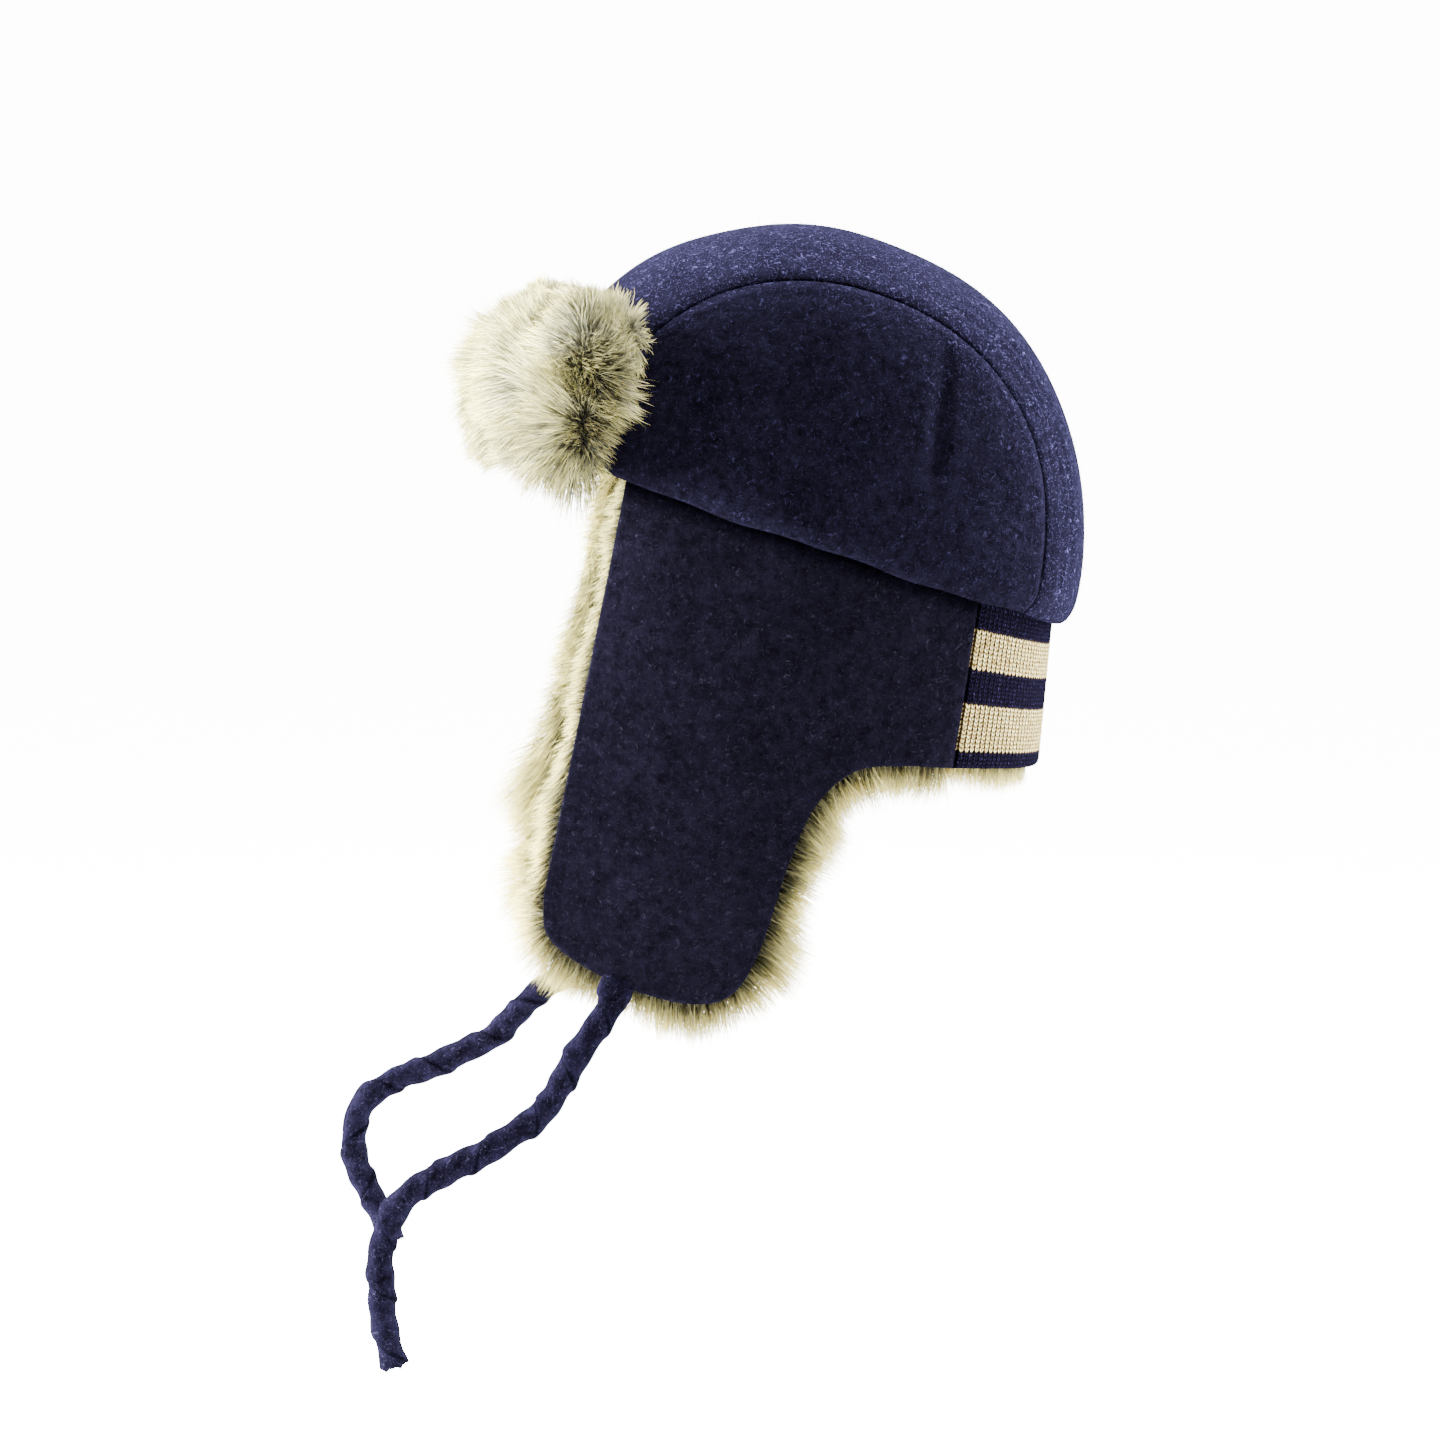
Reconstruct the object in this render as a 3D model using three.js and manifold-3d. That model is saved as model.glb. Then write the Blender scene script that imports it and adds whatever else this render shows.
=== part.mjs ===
import * as THREE from 'three';
import Module from 'manifold-3d';

// A fur-visored winter hat with ear flaps. Lengths are in millimetres, angles in degrees.
// The hat's own frame has its hem in the plane Z = 0, the face on -X and the wearer's left on -Y.
// The finished group is tipped as the hat is worn and put with the inside of its top at the origin.

const hemHalfLength = 117.5;
const hemHalfWidth = 91;
const crownHeight = 124;
const hemSquareness = 2.2;
const crownFullness = { front: 2.32, back: 2.08 };
const wearTilt = 19;

const feltThickness = 2.5;
const knitThickness = 3.5;
const layerGap = 0.8;
const seamGap = 0.6;
const bandTop = 9;

const blouse = { depth: 3.6, height: 12 };
const seamDip = { depth: 1.2, reach: 3.5 };
const dart = { depth: 3, reach: 8, top: { x: 27, z: 100 }, bottom: { x: 37, z: 44 } };
const strip = { halfWidth: 53, frontExtra: 2, backExtra: 5, turnFront: 40, turnBack: 140 };
// Where the side panel's seam arch passes from its front and back stretches to its top stretch.
const archCorner = 50;

// The flaps lean back below the hem, close in towards the chin and flatten as they go down.
const drop = { lean: 9.5, depth: 190, closing: 0.2, flatten: 0.55, flatAt: 0.93, napeFlare: 16 };
const flapEnd = 210;
const knitSeam = 245;
const napeStart = 200;

// Lower edge of the felt flap, from its front corner to the seam with the knitted band.
// around: distance round the hem from the front centre, down: distance below the hem.
const flapEdge = [
  { around: 81, down: 168 },
  { around: 85, down: 181 },
  { around: 99, down: 188 },
  { around: 126, down: 192 },
  { around: 152, down: 190 },
  { around: 168, down: 181 },
  { around: 176, down: 160 },
  { around: 181, down: 124 },
  { around: 188, down: 97 },
  { around: 202, down: 79 },
  { around: 222, down: 71 },
  { around: knitSeam, down: 66 },
];
const flapFront = 86;
const knitDepth = { side: 66, middle: 56 };

const lining = { thickness: 7, tuftHeight: 1.6, lockDepth: 0.75, lockFoot: 5 };
const liningInset = { side: 0.01, edge: 0.015 };
// Locks that stand past the felt: how far they reach beyond each stretch of its edge.
const fringe = {
  front: { reach: 14, count: 10 },
  lower: { reach: 10, backReach: 17, count: 16 },
  nape: { reach: 8, count: 9 },
};
const fringeWidth = 6;
const fringeDroop = 0.2;

const visor = { halfWidth: 76, low: -3, high: 63, topCorner: 9, lowCorner: 2.7, leanIn: 6, leanFrom: 40 };
const visorGrid = { columns: 14, rows: 6 };
const visorFur = { edge: 7, middle: 22, sideInset: 0.005 };
const visorLock = { root: 0.6, length: 19, width: 11, droop: 2, rows: 4, columns: 9, stagger: 0.25 };
const visorFan = { outwards: 14, around: 10, up: 13, stray: 3 };

const tieWidth = 11.5;
const tieSides = 8;
const tieSteps = 14;
const tiePlace = { around: 121, clear: 9 };
// The cords hang free from the flaps' lower edges: their middle lines once the hat is tipped and placed.
const tieRouteLeft = [
  [-69.95, -65.8, -300.05],
  [-72.2, -65, -306.8],
  [-76.5, -65, -314],
  [-81.5, -66, -321.5],
  [-87, -67, -329],
  [-91.5, -68, -337],
  [-96.5, -69, -345],
  [-103, -70, -352],
  [-111, -70.5, -358],
  [-120, -71, -363.5],
  [-130, -71, -368.5],
  [-140, -71, -373.5],
  [-150, -71, -379],
  [-158, -70.5, -387],
  [-163, -70, -397],
  [-165, -69.5, -408],
  [-165, -69, -420],
  [-164, -68.5, -432],
  [-162, -68, -444],
  [-160, -67.5, -452],
];
const tieRouteRight = [
  [-69.95, 65.8, -300.05],
  [-72.2, 65, -306.8],
  [-77, 65.5, -312.5],
  [-84, 66.5, -317.5],
  [-92, 67.5, -322.5],
  [-99, 68.5, -328],
  [-105, 69.5, -335],
  [-112, 70, -342],
  [-121, 70.5, -347.5],
  [-132, 70.5, -352.5],
  [-144, 70.5, -357.5],
  [-156, 70.5, -362],
  [-166, 70, -368],
  [-172, 69.5, -377],
  [-174, 69, -388],
  [-172, 68.5, -399],
  [-167.5, 68, -409.5],
  [-162, 67.5, -420],
  [-158, 67, -431],
];

const degrees = Math.PI / 180;

const colours = {
  crown: 0x1b1b29,
  strip: 0x2a2a40,
  flap: 0x201f30,
  knit: 0xcdbd94,
  fur: 0xb9b28c,
  liningFur: 0x9d9470,
  tie: 0x3a3a52,
};

const wasm = await Module();
wasm.setup();

// Smooth step from 0 to 1 as value goes from low to high.
function ease(value, low, high) {
  return THREE.MathUtils.smoothstep(value, low, high);
}

// Half of the hem line, from the front centre round the wearer's left to the back centre.
class HemLine extends THREE.Curve {
  getPoint(t, target = new THREE.Vector3()) {
    const turn = Math.PI * t;
    const power = 2 / hemSquareness;
    const x = -Math.sign(Math.cos(turn)) * Math.abs(Math.cos(turn)) ** power;
    const y = -(Math.abs(Math.sin(turn)) ** power);
    return target.set(hemHalfLength * x, hemHalfWidth * y, 0);
  }
}

const hemLine = new HemLine();
const halfHem = hemLine.getLength();

// Point of the hem at a distance round from the front centre; past the back centre it mirrors.
function hemPoint(around) {
  const folded = Math.abs(around) > halfHem ? 2 * halfHem - Math.abs(around) : Math.abs(around);
  const point = hemLine.getPointAt(THREE.MathUtils.clamp(folded / halfHem, 0, 1));
  const mirrored = around > halfHem || around < 0;
  if (mirrored) {
    point.y = -point.y;
  }
  return point;
}

// Level direction pointing out of the hem at a distance round it.
function hemNormal(around) {
  const before = hemPoint(around - 1);
  const after = hemPoint(around + 1);
  const along = after.sub(before).normalize();
  return new THREE.Vector3(along.y, -along.x, 0);
}

// Height of the fold of cloth that puffs out just above the hem, from 0 to 1.
function puff(height) {
  const ratio = Math.max(height, 0) / blouse.height;
  return ratio * Math.exp(1 - ratio);
}

// Angle from the left side pole to the seam of the strip, for a turn from front hem to back hem.
function seamAngle(turn) {
  const front = strip.frontExtra * (1 - ease(turn / degrees, 0, strip.turnFront));
  const back = strip.backExtra * ease(turn / degrees, strip.turnBack, 180);
  return Math.acos((strip.halfWidth + front + back) / hemHalfWidth);
}

// Distance in the side view from a point to the dart's line.
function dartDistance(x, z) {
  const run = new THREE.Line3(
    new THREE.Vector3(dart.top.x, 0, dart.top.z),
    new THREE.Vector3(dart.bottom.x, 0, dart.bottom.z),
  );
  const point = new THREE.Vector3(x, 0, z);
  return run.closestPointToPoint(point, true, new THREE.Vector3()).distanceTo(point);
}

// The crown's outer face: turn runs over the head from front to back, across from left to right.
function crownPoint(turn, across) {
  const point = new THREE.Vector3(
    -hemHalfLength * Math.cos(turn) * Math.sin(across),
    -hemHalfWidth * Math.cos(across),
    crownHeight * Math.sin(turn) * Math.sin(across),
  );
  const level =
    Math.abs(point.x / hemHalfLength) ** hemSquareness + Math.abs(point.y / hemHalfWidth) ** hemSquareness;
  const fullness = THREE.MathUtils.lerp(crownFullness.back, crownFullness.front, (1 + Math.cos(turn)) / 2);
  const rise = Math.abs(point.z / crownHeight) ** fullness;
  point.divideScalar((level ** (fullness / hemSquareness) + rise) ** (1 / fullness));
  const leftAcross = Math.min(across, Math.PI - across);
  const seamDistance = hemHalfWidth * Math.abs(leftAcross - seamAngle(turn));
  const dip = seamDip.depth * Math.exp(-((seamDistance / seamDip.reach) ** 2)) * ease(point.z, 6, 24);
  const dartNearness = Math.exp(-((dartDistance(point.x, point.z) / dart.reach) ** 2));
  const fold = dart.depth * dartNearness * ease(seamDistance, 3, 16);
  const radius = Math.hypot(point.x, point.y);
  const push = 1 + (blouse.depth * puff(point.z)) / Math.max(radius, 1);
  point.x *= push;
  point.y *= push;
  point.multiplyScalar(1 - dip / point.length());
  point.y -= Math.sign(point.y) * fold * Math.min(1, Math.abs(point.y) / hemHalfWidth);
  return point;
}

// The band and flaps below the hem: around is measured round the hem, down below it.
function bandPoint(around, down) {
  const point = hemPoint(around);
  const folded = Math.min(around, 2 * halfHem - around);
  const depth = Math.max(down, 0) / drop.depth;
  const flat = drop.flatten * ease(depth, 0.1, 1) * (1 - ease(folded, flapEnd, knitSeam));
  const side = point.y < 0 ? -1 : 1;
  const level = THREE.MathUtils.lerp(Math.abs(point.y), hemHalfWidth * drop.flatAt, flat);
  point.y = side * level * (1 - drop.closing * depth ** 1.6);
  point.x += Math.max(down, 0) * Math.tan(drop.lean * degrees);
  point.x += drop.napeFlare * depth * ease(folded, napeStart, halfHem);
  point.z = -down;
  return point;
}

// Unit normal of a surface of two numbers, from points a little to each side.
function normalOf(surface, u, v) {
  const step = 1e-3;
  const alongU = surface(u + step, v).sub(surface(u - step, v));
  const alongV = surface(u, v + step).sub(surface(u, v - step));
  return alongU.cross(alongV).normalize();
}

// The same for a patch over 0 to 1, kept off its border, where two edges can run on in one line.
function patchNormal(surface, u, v) {
  const border = 0.01;
  const inside = (place) => THREE.MathUtils.clamp(place, border, 1 - border);
  return normalOf(surface, inside(u), inside(v));
}

function asSolid(positions, triangles) {
  const mesh = new wasm.Mesh({
    numProp: 3,
    vertProperties: new Float32Array(positions),
    triVerts: new Uint32Array(triangles),
  });
  return new wasm.Manifold(mesh);
}

// A wall between two offsets of a surface. us and vs are the sample places; u x v points outwards.
// inner may be a function of u and v, for a pile that stands in tufts.
function wall(surface, us, vs, outer, inner) {
  const positions = [];
  const triangles = [];
  const across = vs.length;
  const layer = us.length * across;
  for (const offset of [outer, inner]) {
    for (const u of us) {
      for (const v of vs) {
        const amount = typeof offset === 'function' ? offset(u, v) : offset;
        const point = surface(u, v).addScaledVector(patchNormal(surface, u, v), amount);
        positions.push(point.x, point.y, point.z);
      }
    }
  }
  const quad = (a, b, c, d) => triangles.push(a, b, c, a, c, d);
  for (let i = 0; i + 1 < us.length; i += 1) {
    for (let j = 0; j + 1 < across; j += 1) {
      const a = i * across + j;
      const b = a + across;
      quad(a, b, b + 1, a + 1);
      quad(layer + a, layer + a + 1, layer + b + 1, layer + b);
    }
  }
  const rim = [];
  for (let i = 0; i + 1 < us.length; i += 1) {
    rim.push(i * across);
  }
  for (let j = 0; j + 1 < across; j += 1) {
    rim.push((us.length - 1) * across + j);
  }
  for (let i = us.length - 1; i > 0; i -= 1) {
    rim.push(i * across + across - 1);
  }
  for (let j = across - 1; j > 0; j -= 1) {
    rim.push(j);
  }
  rim.forEach((start, index) => {
    const end = rim[(index + 1) % rim.length];
    quad(start, layer + start, layer + end, end);
  });
  return asSolid(positions, triangles);
}

// Even sample places from 0 to 1.
function evenly(count) {
  return Array.from({ length: count + 1 }, (_, index) => index / count);
}

// Sample places from 0 to 1 that crowd towards both ends.
function crowded(count) {
  return evenly(count).map((place) => place - 0.1 * Math.sin(2 * Math.PI * place));
}

// A lock of fur: a bent cone with its foot at root, its tip leaning by droop.
function lock(root, direction, length, width, droop) {
  const sides = 5;
  const rings = [
    { along: 0, size: 0.85 },
    { along: 0.5, size: 0.95 },
  ];
  const helper = Math.abs(direction.z) < 0.9 ? new THREE.Vector3(0, 0, 1) : new THREE.Vector3(1, 0, 0);
  const sideways = new THREE.Vector3().crossVectors(direction, helper).normalize();
  const upwards = new THREE.Vector3().crossVectors(sideways, direction).normalize();
  const place = (along) =>
    root.clone().addScaledVector(direction, along * length).addScaledVector(droop, along * along);
  const positions = [];
  const triangles = [];
  for (const ring of rings) {
    for (let side = 0; side < sides; side += 1) {
      const angle = (2 * Math.PI * side) / sides;
      const point = place(ring.along)
        .addScaledVector(sideways, width * ring.size * Math.cos(angle))
        .addScaledVector(upwards, width * ring.size * Math.sin(angle));
      positions.push(point.x, point.y, point.z);
    }
  }
  const tip = place(1);
  positions.push(tip.x, tip.y, tip.z);
  const tipIndex = rings.length * sides;
  for (let side = 0; side < sides; side += 1) {
    const next = (side + 1) % sides;
    for (let ring = 0; ring + 1 < rings.length; ring += 1) {
      const a = ring * sides + side;
      const b = ring * sides + next;
      triangles.push(a, a + sides, b + sides, a, b + sides, b);
    }
    triangles.push((rings.length - 1) * sides + side, tipIndex, (rings.length - 1) * sides + next);
    if (side > 0 && side + 1 < sides) {
      triangles.push(0, side, side + 1);
    }
  }
  return asSolid(positions, triangles);
}

// Joins a backing and its locks and fills the closed pockets left between the locks.
function fuse(pieces) {
  const shells = wasm.Manifold.union(pieces).decompose();
  return shells.reduce((largest, shell) => (shell.volume() > largest.volume() ? shell : largest));
}

function toGeometry(solid, mirrored = false) {
  const mesh = solid.getMesh();
  const positions = [];
  for (let index = 0; index < mesh.vertProperties.length; index += mesh.numProp) {
    const [x, y, z] = mesh.vertProperties.slice(index, index + 3);
    positions.push(x, mirrored ? -y : y, z);
  }
  const triangles = Array.from(mesh.triVerts);
  if (mirrored) {
    triangles.reverse();
  }
  const geometry = new THREE.BufferGeometry();
  geometry.setAttribute('position', new THREE.Float32BufferAttribute(positions, 3));
  geometry.setIndex(triangles);
  geometry.computeVertexNormals();
  return geometry;
}

function fabric(color, roughness = 0.95) {
  return new THREE.MeshStandardMaterial({ color, roughness, metalness: 0 });
}

function addPiece(group, name, geometry, color) {
  const mesh = new THREE.Mesh(geometry, fabric(color));
  mesh.name = name;
  group.add(mesh);
  return mesh;
}

// Half disc round the side pole, blended from its hem line and three stretches of its seam arch.
function sidePanelPoint(u, v) {
  const corner = archCorner * degrees;
  const flatPoint = (turn, reach) => new THREE.Vector2(-reach * Math.cos(turn), reach * Math.sin(turn));
  const seamPoint = (turn) => flatPoint(turn, seamAngle(turn) - seamGap / hemHalfWidth);
  const low = seamPoint(0).lerp(seamPoint(Math.PI), u);
  const high = seamPoint(THREE.MathUtils.lerp(corner, Math.PI - corner, u));
  const front = seamPoint(corner * v);
  const back = seamPoint(Math.PI - corner * v);
  const spread = low.clone().lerp(high, v).add(front.clone().lerp(back, u));
  const lowCorners = seamPoint(0).lerp(seamPoint(Math.PI), u);
  const highCorners = seamPoint(corner).lerp(seamPoint(Math.PI - corner), u);
  spread.sub(lowCorners.lerp(highCorners, v));
  return crownPoint(Math.atan2(spread.y, -spread.x), spread.length());
}

function stripPoint(u, v) {
  const turn = Math.PI * u;
  const seam = seamAngle(turn) + seamGap / hemHalfWidth;
  return crownPoint(turn, THREE.MathUtils.lerp(seam, Math.PI - seam, v));
}

const flapEdgeLine = new THREE.SplineCurve(flapEdge.map((row) => new THREE.Vector2(row.around, row.down)));

// Place on the flap as distance round and down: u runs along its lower edge, v from there to the top.
function flapPlace(u, v) {
  const top = new THREE.Vector2(THREE.MathUtils.lerp(flapFront, knitSeam - seamGap, u), -bandTop);
  const edge = flapEdgeLine.getPointAt(THREE.MathUtils.clamp(u, 0, 1));
  edge.x -= seamGap * u;
  return edge.lerp(top, v);
}

function flapPoint(u, v) {
  const place = flapPlace(u, v);
  return bandPoint(place.x, place.y);
}

function knitPlace(u, v) {
  const around = THREE.MathUtils.lerp(knitSeam, 2 * halfHem - knitSeam, u);
  const depth = THREE.MathUtils.lerp(knitDepth.middle, knitDepth.side, (2 * u - 1) ** 2);
  return new THREE.Vector2(around, THREE.MathUtils.lerp(depth, -bandTop, v));
}

function knitPoint(u, v) {
  const place = knitPlace(u, v);
  return bandPoint(place.x, place.y);
}

const bandOuter = -(feltThickness + layerGap);
const feltInner = bandOuter - feltThickness;
const knitInner = bandOuter - knitThickness;

// Inner face of the pile, with a tuft at every second sample place.
function pileFace(outer, columns, rows) {
  return (u, v) => {
    const tuft = Math.cos(Math.PI * columns * u) * Math.cos(Math.PI * rows * v);
    return outer - lining.thickness - lining.tuftHeight * tuft;
  };
}

// A number from -1 to 1 that differs from one lock to the next.
function scatter(index) {
  return Math.sin(index * 7.31 + 2.1);
}

// A lock from a place on the band towards a place further out, both given round and down.
function edgeLock(from, outwards, depth, reach) {
  const surface = (around, up) => bandPoint(around, -up);
  const face = normalOf(surface, from.x, -from.y);
  const start = bandPoint(from.x, from.y);
  const direction = bandPoint(from.x + outwards.x, from.y + outwards.y).sub(start).normalize();
  start.addScaledVector(face, depth);
  return lock(start, direction, reach, fringeWidth, face.multiplyScalar(-fringeDroop * reach));
}

// The stretch of a felt or knitted surface that its pile covers.
function insetSurface(surface) {
  const { side, edge } = liningInset;
  return (u, v) => surface(THREE.MathUtils.lerp(side, 1 - side, u), THREE.MathUtils.lerp(edge, 1, v));
}

function flapLining() {
  const outer = feltInner - layerGap;
  const depth = outer - lining.thickness * lining.lockDepth;
  const columns = 16;
  const rows = 8;
  const surface = insetSurface(flapPoint);
  const pieces = [wall(surface, evenly(columns), evenly(rows), outer, pileFace(outer, columns, rows))];
  const { front, lower } = fringe;
  evenly(front.count - 1).forEach((place, index) => {
    const edge = flapPlace(0, THREE.MathUtils.lerp(0.03, 0.9, place));
    const outwards = new THREE.Vector2(-10, 3 + 3 * scatter(index));
    edge.x += lining.lockFoot;
    pieces.push(edgeLock(edge, outwards, depth, lining.lockFoot + front.reach + 2 * scatter(index + 5)));
  });
  evenly(lower.count - 1).forEach((place, index) => {
    const u = THREE.MathUtils.lerp(0.02, 0.97, place);
    const tangent = flapPlace(u + 0.01, 0).sub(flapPlace(u - 0.01, 0)).normalize();
    const outwards = new THREE.Vector2(-tangent.y, tangent.x);
    const foot = flapPlace(u, 0).addScaledVector(outwards, -lining.lockFoot);
    const reach = THREE.MathUtils.lerp(lower.reach, lower.backReach, ease(u, 0.4, 0.5) * ease(u, 0.8, 0.7));
    if (Math.abs(foot.x - tiePlace.around) > tiePlace.clear) {
      pieces.push(edgeLock(foot, outwards, depth, lining.lockFoot + reach + 2 * scatter(index)));
    }
  });
  return fuse(pieces);
}

function napeLining() {
  const outer = knitInner - layerGap;
  const depth = outer - lining.thickness * lining.lockDepth;
  const columns = 12;
  const rows = 6;
  const surface = insetSurface(knitPoint);
  const pieces = [wall(surface, evenly(columns), evenly(rows), outer, pileFace(outer, columns, rows))];
  const down = new THREE.Vector2(0, 1);
  evenly(fringe.nape.count - 1).forEach((place, index) => {
    const foot = knitPlace(THREE.MathUtils.lerp(0.04, 0.96, place), 0);
    foot.y -= lining.lockFoot;
    pieces.push(edgeLock(foot, down, depth, lining.lockFoot + fringe.nape.reach + 2 * scatter(index)));
  });
  return fuse(pieces);
}

// The folded-up front flap: around from the front centre, up from the hem.
function visorPoint(around, up) {
  const bulge = blouse.depth * puff(Math.min(up, blouse.height));
  const recede = visor.leanIn * ease(up, visor.leanFrom, visor.high);
  const point = hemPoint(around).addScaledVector(hemNormal(around), layerGap + bulge - recede);
  point.z = up;
  return point;
}

function visorSurface(u, v) {
  const around = THREE.MathUtils.lerp(-visor.halfWidth, visor.halfWidth, u);
  const rounding = Math.abs(2 * u - 1) ** 6;
  const low = visor.low + visor.lowCorner * rounding;
  return visorPoint(around, THREE.MathUtils.lerp(low, visor.high - visor.topCorner * rounding, v));
}

// A domed pad of fur with rows of locks that fan out from its middle.
function visorFurSolid() {
  const foot = feltThickness + layerGap;
  const rightwards = new THREE.Vector3(0, 1, 0);
  const upwards = new THREE.Vector3(0, 0, 1);
  const { edge, middle, sideInset } = visorFur;
  const surface = (u, v) => visorSurface(THREE.MathUtils.lerp(sideInset, 1 - sideInset, u), v);
  const thickness = (u, v) => {
    const dome = Math.sqrt((1 - (2 * u - 1) ** 4) * (1 - (2 * v - 1) ** 4));
    return foot + THREE.MathUtils.lerp(edge, middle, dome);
  };
  const pieces = [wall(surface, evenly(visorGrid.columns), evenly(visorGrid.rows), thickness, foot)];
  for (let row = 0; row < visorLock.rows; row += 1) {
    for (let column = 0; column < visorLock.columns; column += 1) {
      const index = row * visorLock.columns + column;
      const u = (column + 0.5 + visorLock.stagger * (row % 2 ? 1 : -1)) / visorLock.columns;
      const v = THREE.MathUtils.lerp(0.095, 0.905, row / (visorLock.rows - 1));
      const outwards = patchNormal(surface, u, v);
      const root = surface(u, v).addScaledVector(outwards, foot + visorLock.root * middle);
      const direction = outwards
        .multiplyScalar(visorFan.outwards)
        .addScaledVector(rightwards, visorFan.around * (1 - 2 * u) + visorFan.stray * scatter(index))
        .addScaledVector(upwards, visorFan.up * (2 * v - 1) + visorFan.stray * scatter(index + 9))
        .normalize();
      const length = visorLock.length + 2 * scatter(index + 4);
      pieces.push(lock(root, direction, length, visorLock.width, new THREE.Vector3(0, 0, -visorLock.droop)));
    }
  }
  return fuse(pieces);
}

// A felt cord of round section along its route.
function tieGeometry(route) {
  const section = new THREE.Shape();
  const corners = evenly(tieSides).slice(0, tieSides);
  section.setFromPoints(
    corners.map((place) => {
      const angle = 2 * Math.PI * place;
      return new THREE.Vector2((tieWidth / 2) * Math.cos(angle), (tieWidth / 2) * Math.sin(angle));
    }),
  );
  const path = new THREE.CatmullRomCurve3(route.map((point) => new THREE.Vector3(...point)));
  return new THREE.ExtrudeGeometry(section, { steps: tieSteps, bevelEnabled: false, extrudePath: path });
}

const hat = new THREE.Group();

const sidePanel = wall(sidePanelPoint, evenly(16), crowded(8), 0, -feltThickness);
addPiece(hat, 'crown_side_left', toGeometry(sidePanel), colours.crown);
addPiece(hat, 'crown_side_right', toGeometry(sidePanel, true), colours.crown);

const topStrip = wall(stripPoint, evenly(22), crowded(10), 0, -feltThickness);
addPiece(hat, 'crown_top_strip', toGeometry(topStrip), colours.strip);

const flap = wall(flapPoint, evenly(18), evenly(9), bandOuter, feltInner);
addPiece(hat, 'flap_left', toGeometry(flap), colours.flap);
addPiece(hat, 'flap_right', toGeometry(flap, true), colours.flap);

const knitBand = wall(knitPoint, evenly(14), evenly(6), bandOuter, knitInner);
addPiece(hat, 'nape_knit_band', toGeometry(knitBand), colours.knit);

const flapPile = flapLining();
addPiece(hat, 'fur_lining_left', toGeometry(flapPile), colours.liningFur);
addPiece(hat, 'fur_lining_right', toGeometry(flapPile, true), colours.liningFur);
addPiece(hat, 'fur_lining_nape', toGeometry(napeLining()), colours.liningFur);

const visorFelt = wall(visorSurface, evenly(visorGrid.columns), evenly(visorGrid.rows), feltThickness, 0);
addPiece(hat, 'visor_felt', toGeometry(visorFelt), colours.flap);
addPiece(hat, 'visor_fur', toGeometry(visorFurSolid()), colours.fur);

// Tip the hat as it is worn and bring the highest point inside its crown to the origin.
hat.rotation.y = wearTilt * degrees;
const seat = evenly(2000)
  .map((turn) => stripPoint(turn, 0.5).addScaledVector(normalOf(stripPoint, turn, 0.5), -feltThickness))
  .map((point) => point.applyEuler(hat.rotation))
  .reduce((best, point) => (point.z > best.z ? point : best));
hat.position.copy(seat).negate();

const group = new THREE.Group();
group.add(hat);
addPiece(group, 'tie_left', tieGeometry(tieRouteLeft), colours.tie);
addPiece(group, 'tie_right', tieGeometry(tieRouteRight), colours.tie);

export default group;
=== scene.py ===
import math

import bpy
import numpy as np
from mathutils import Matrix, Vector


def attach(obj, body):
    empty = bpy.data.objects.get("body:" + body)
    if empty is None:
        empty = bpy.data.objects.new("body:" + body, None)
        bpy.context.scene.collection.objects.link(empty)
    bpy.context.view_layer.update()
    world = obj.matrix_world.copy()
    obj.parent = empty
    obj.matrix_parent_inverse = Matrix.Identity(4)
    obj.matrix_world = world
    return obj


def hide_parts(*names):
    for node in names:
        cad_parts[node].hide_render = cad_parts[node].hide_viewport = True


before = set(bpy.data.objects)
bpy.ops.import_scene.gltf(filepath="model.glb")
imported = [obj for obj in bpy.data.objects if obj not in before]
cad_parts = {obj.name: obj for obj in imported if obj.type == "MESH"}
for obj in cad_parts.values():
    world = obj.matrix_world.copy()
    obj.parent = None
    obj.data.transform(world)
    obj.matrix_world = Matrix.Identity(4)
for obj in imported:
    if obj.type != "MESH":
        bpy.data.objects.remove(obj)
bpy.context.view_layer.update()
rng = np.random.default_rng(7)
mm = 0.001

# ---- the hat's form, in millimetres, hem in the plane z = 0, face on -x, wearer's left on -y
hat = {
    "halfLength": 117.5, "halfWidth": 91.0, "height": 124.0,
    "squareness": 2.2, "fullnessFront": 2.32, "fullnessBack": 2.08,
    "tilt": 19.0,  # degrees that the hem runs down to the back
    "seat": (-5.564, 0.0, 123.141),  # highest point inside the crown once it is tilted
    "blouseDepth": 3.6, "blouseHeight": 12.0,
    "stripHalfWidth": 53.0, "frontExtra": 2.0, "backExtra": 5.0, "seamGap": 0.12,
    "lean": 9.5, "dropDepth": 190.0, "closing": 0.2, "flatten": 0.55, "flatAt": 0.93,
    "napeFlare": 16.0, "knitSeam": 245.0, "flapFront": 86.0, "bandTop": 9.0,
}
# lower edge of the felt flap: distance round the hem from the front centre, distance below the hem
flapEdge = np.array([
    (81, 168), (85, 181), (99, 188), (126, 192), (152, 190), (168, 181),
    (176, 160), (181, 124), (188, 97), (202, 79), (222, 71), (245, 66),
], float)


# ---- camera: the hat's left side, a little from behind and above
shot = {
    "azimuth": -5.0,
    "elevation": 6.5,
    "distance": 2.0,
    "frameWidth": 0.5904,
    "targetRight": -0.02829,  # from the hem's centre to the middle of the picture
    "targetUp": -0.0773,
}


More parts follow.
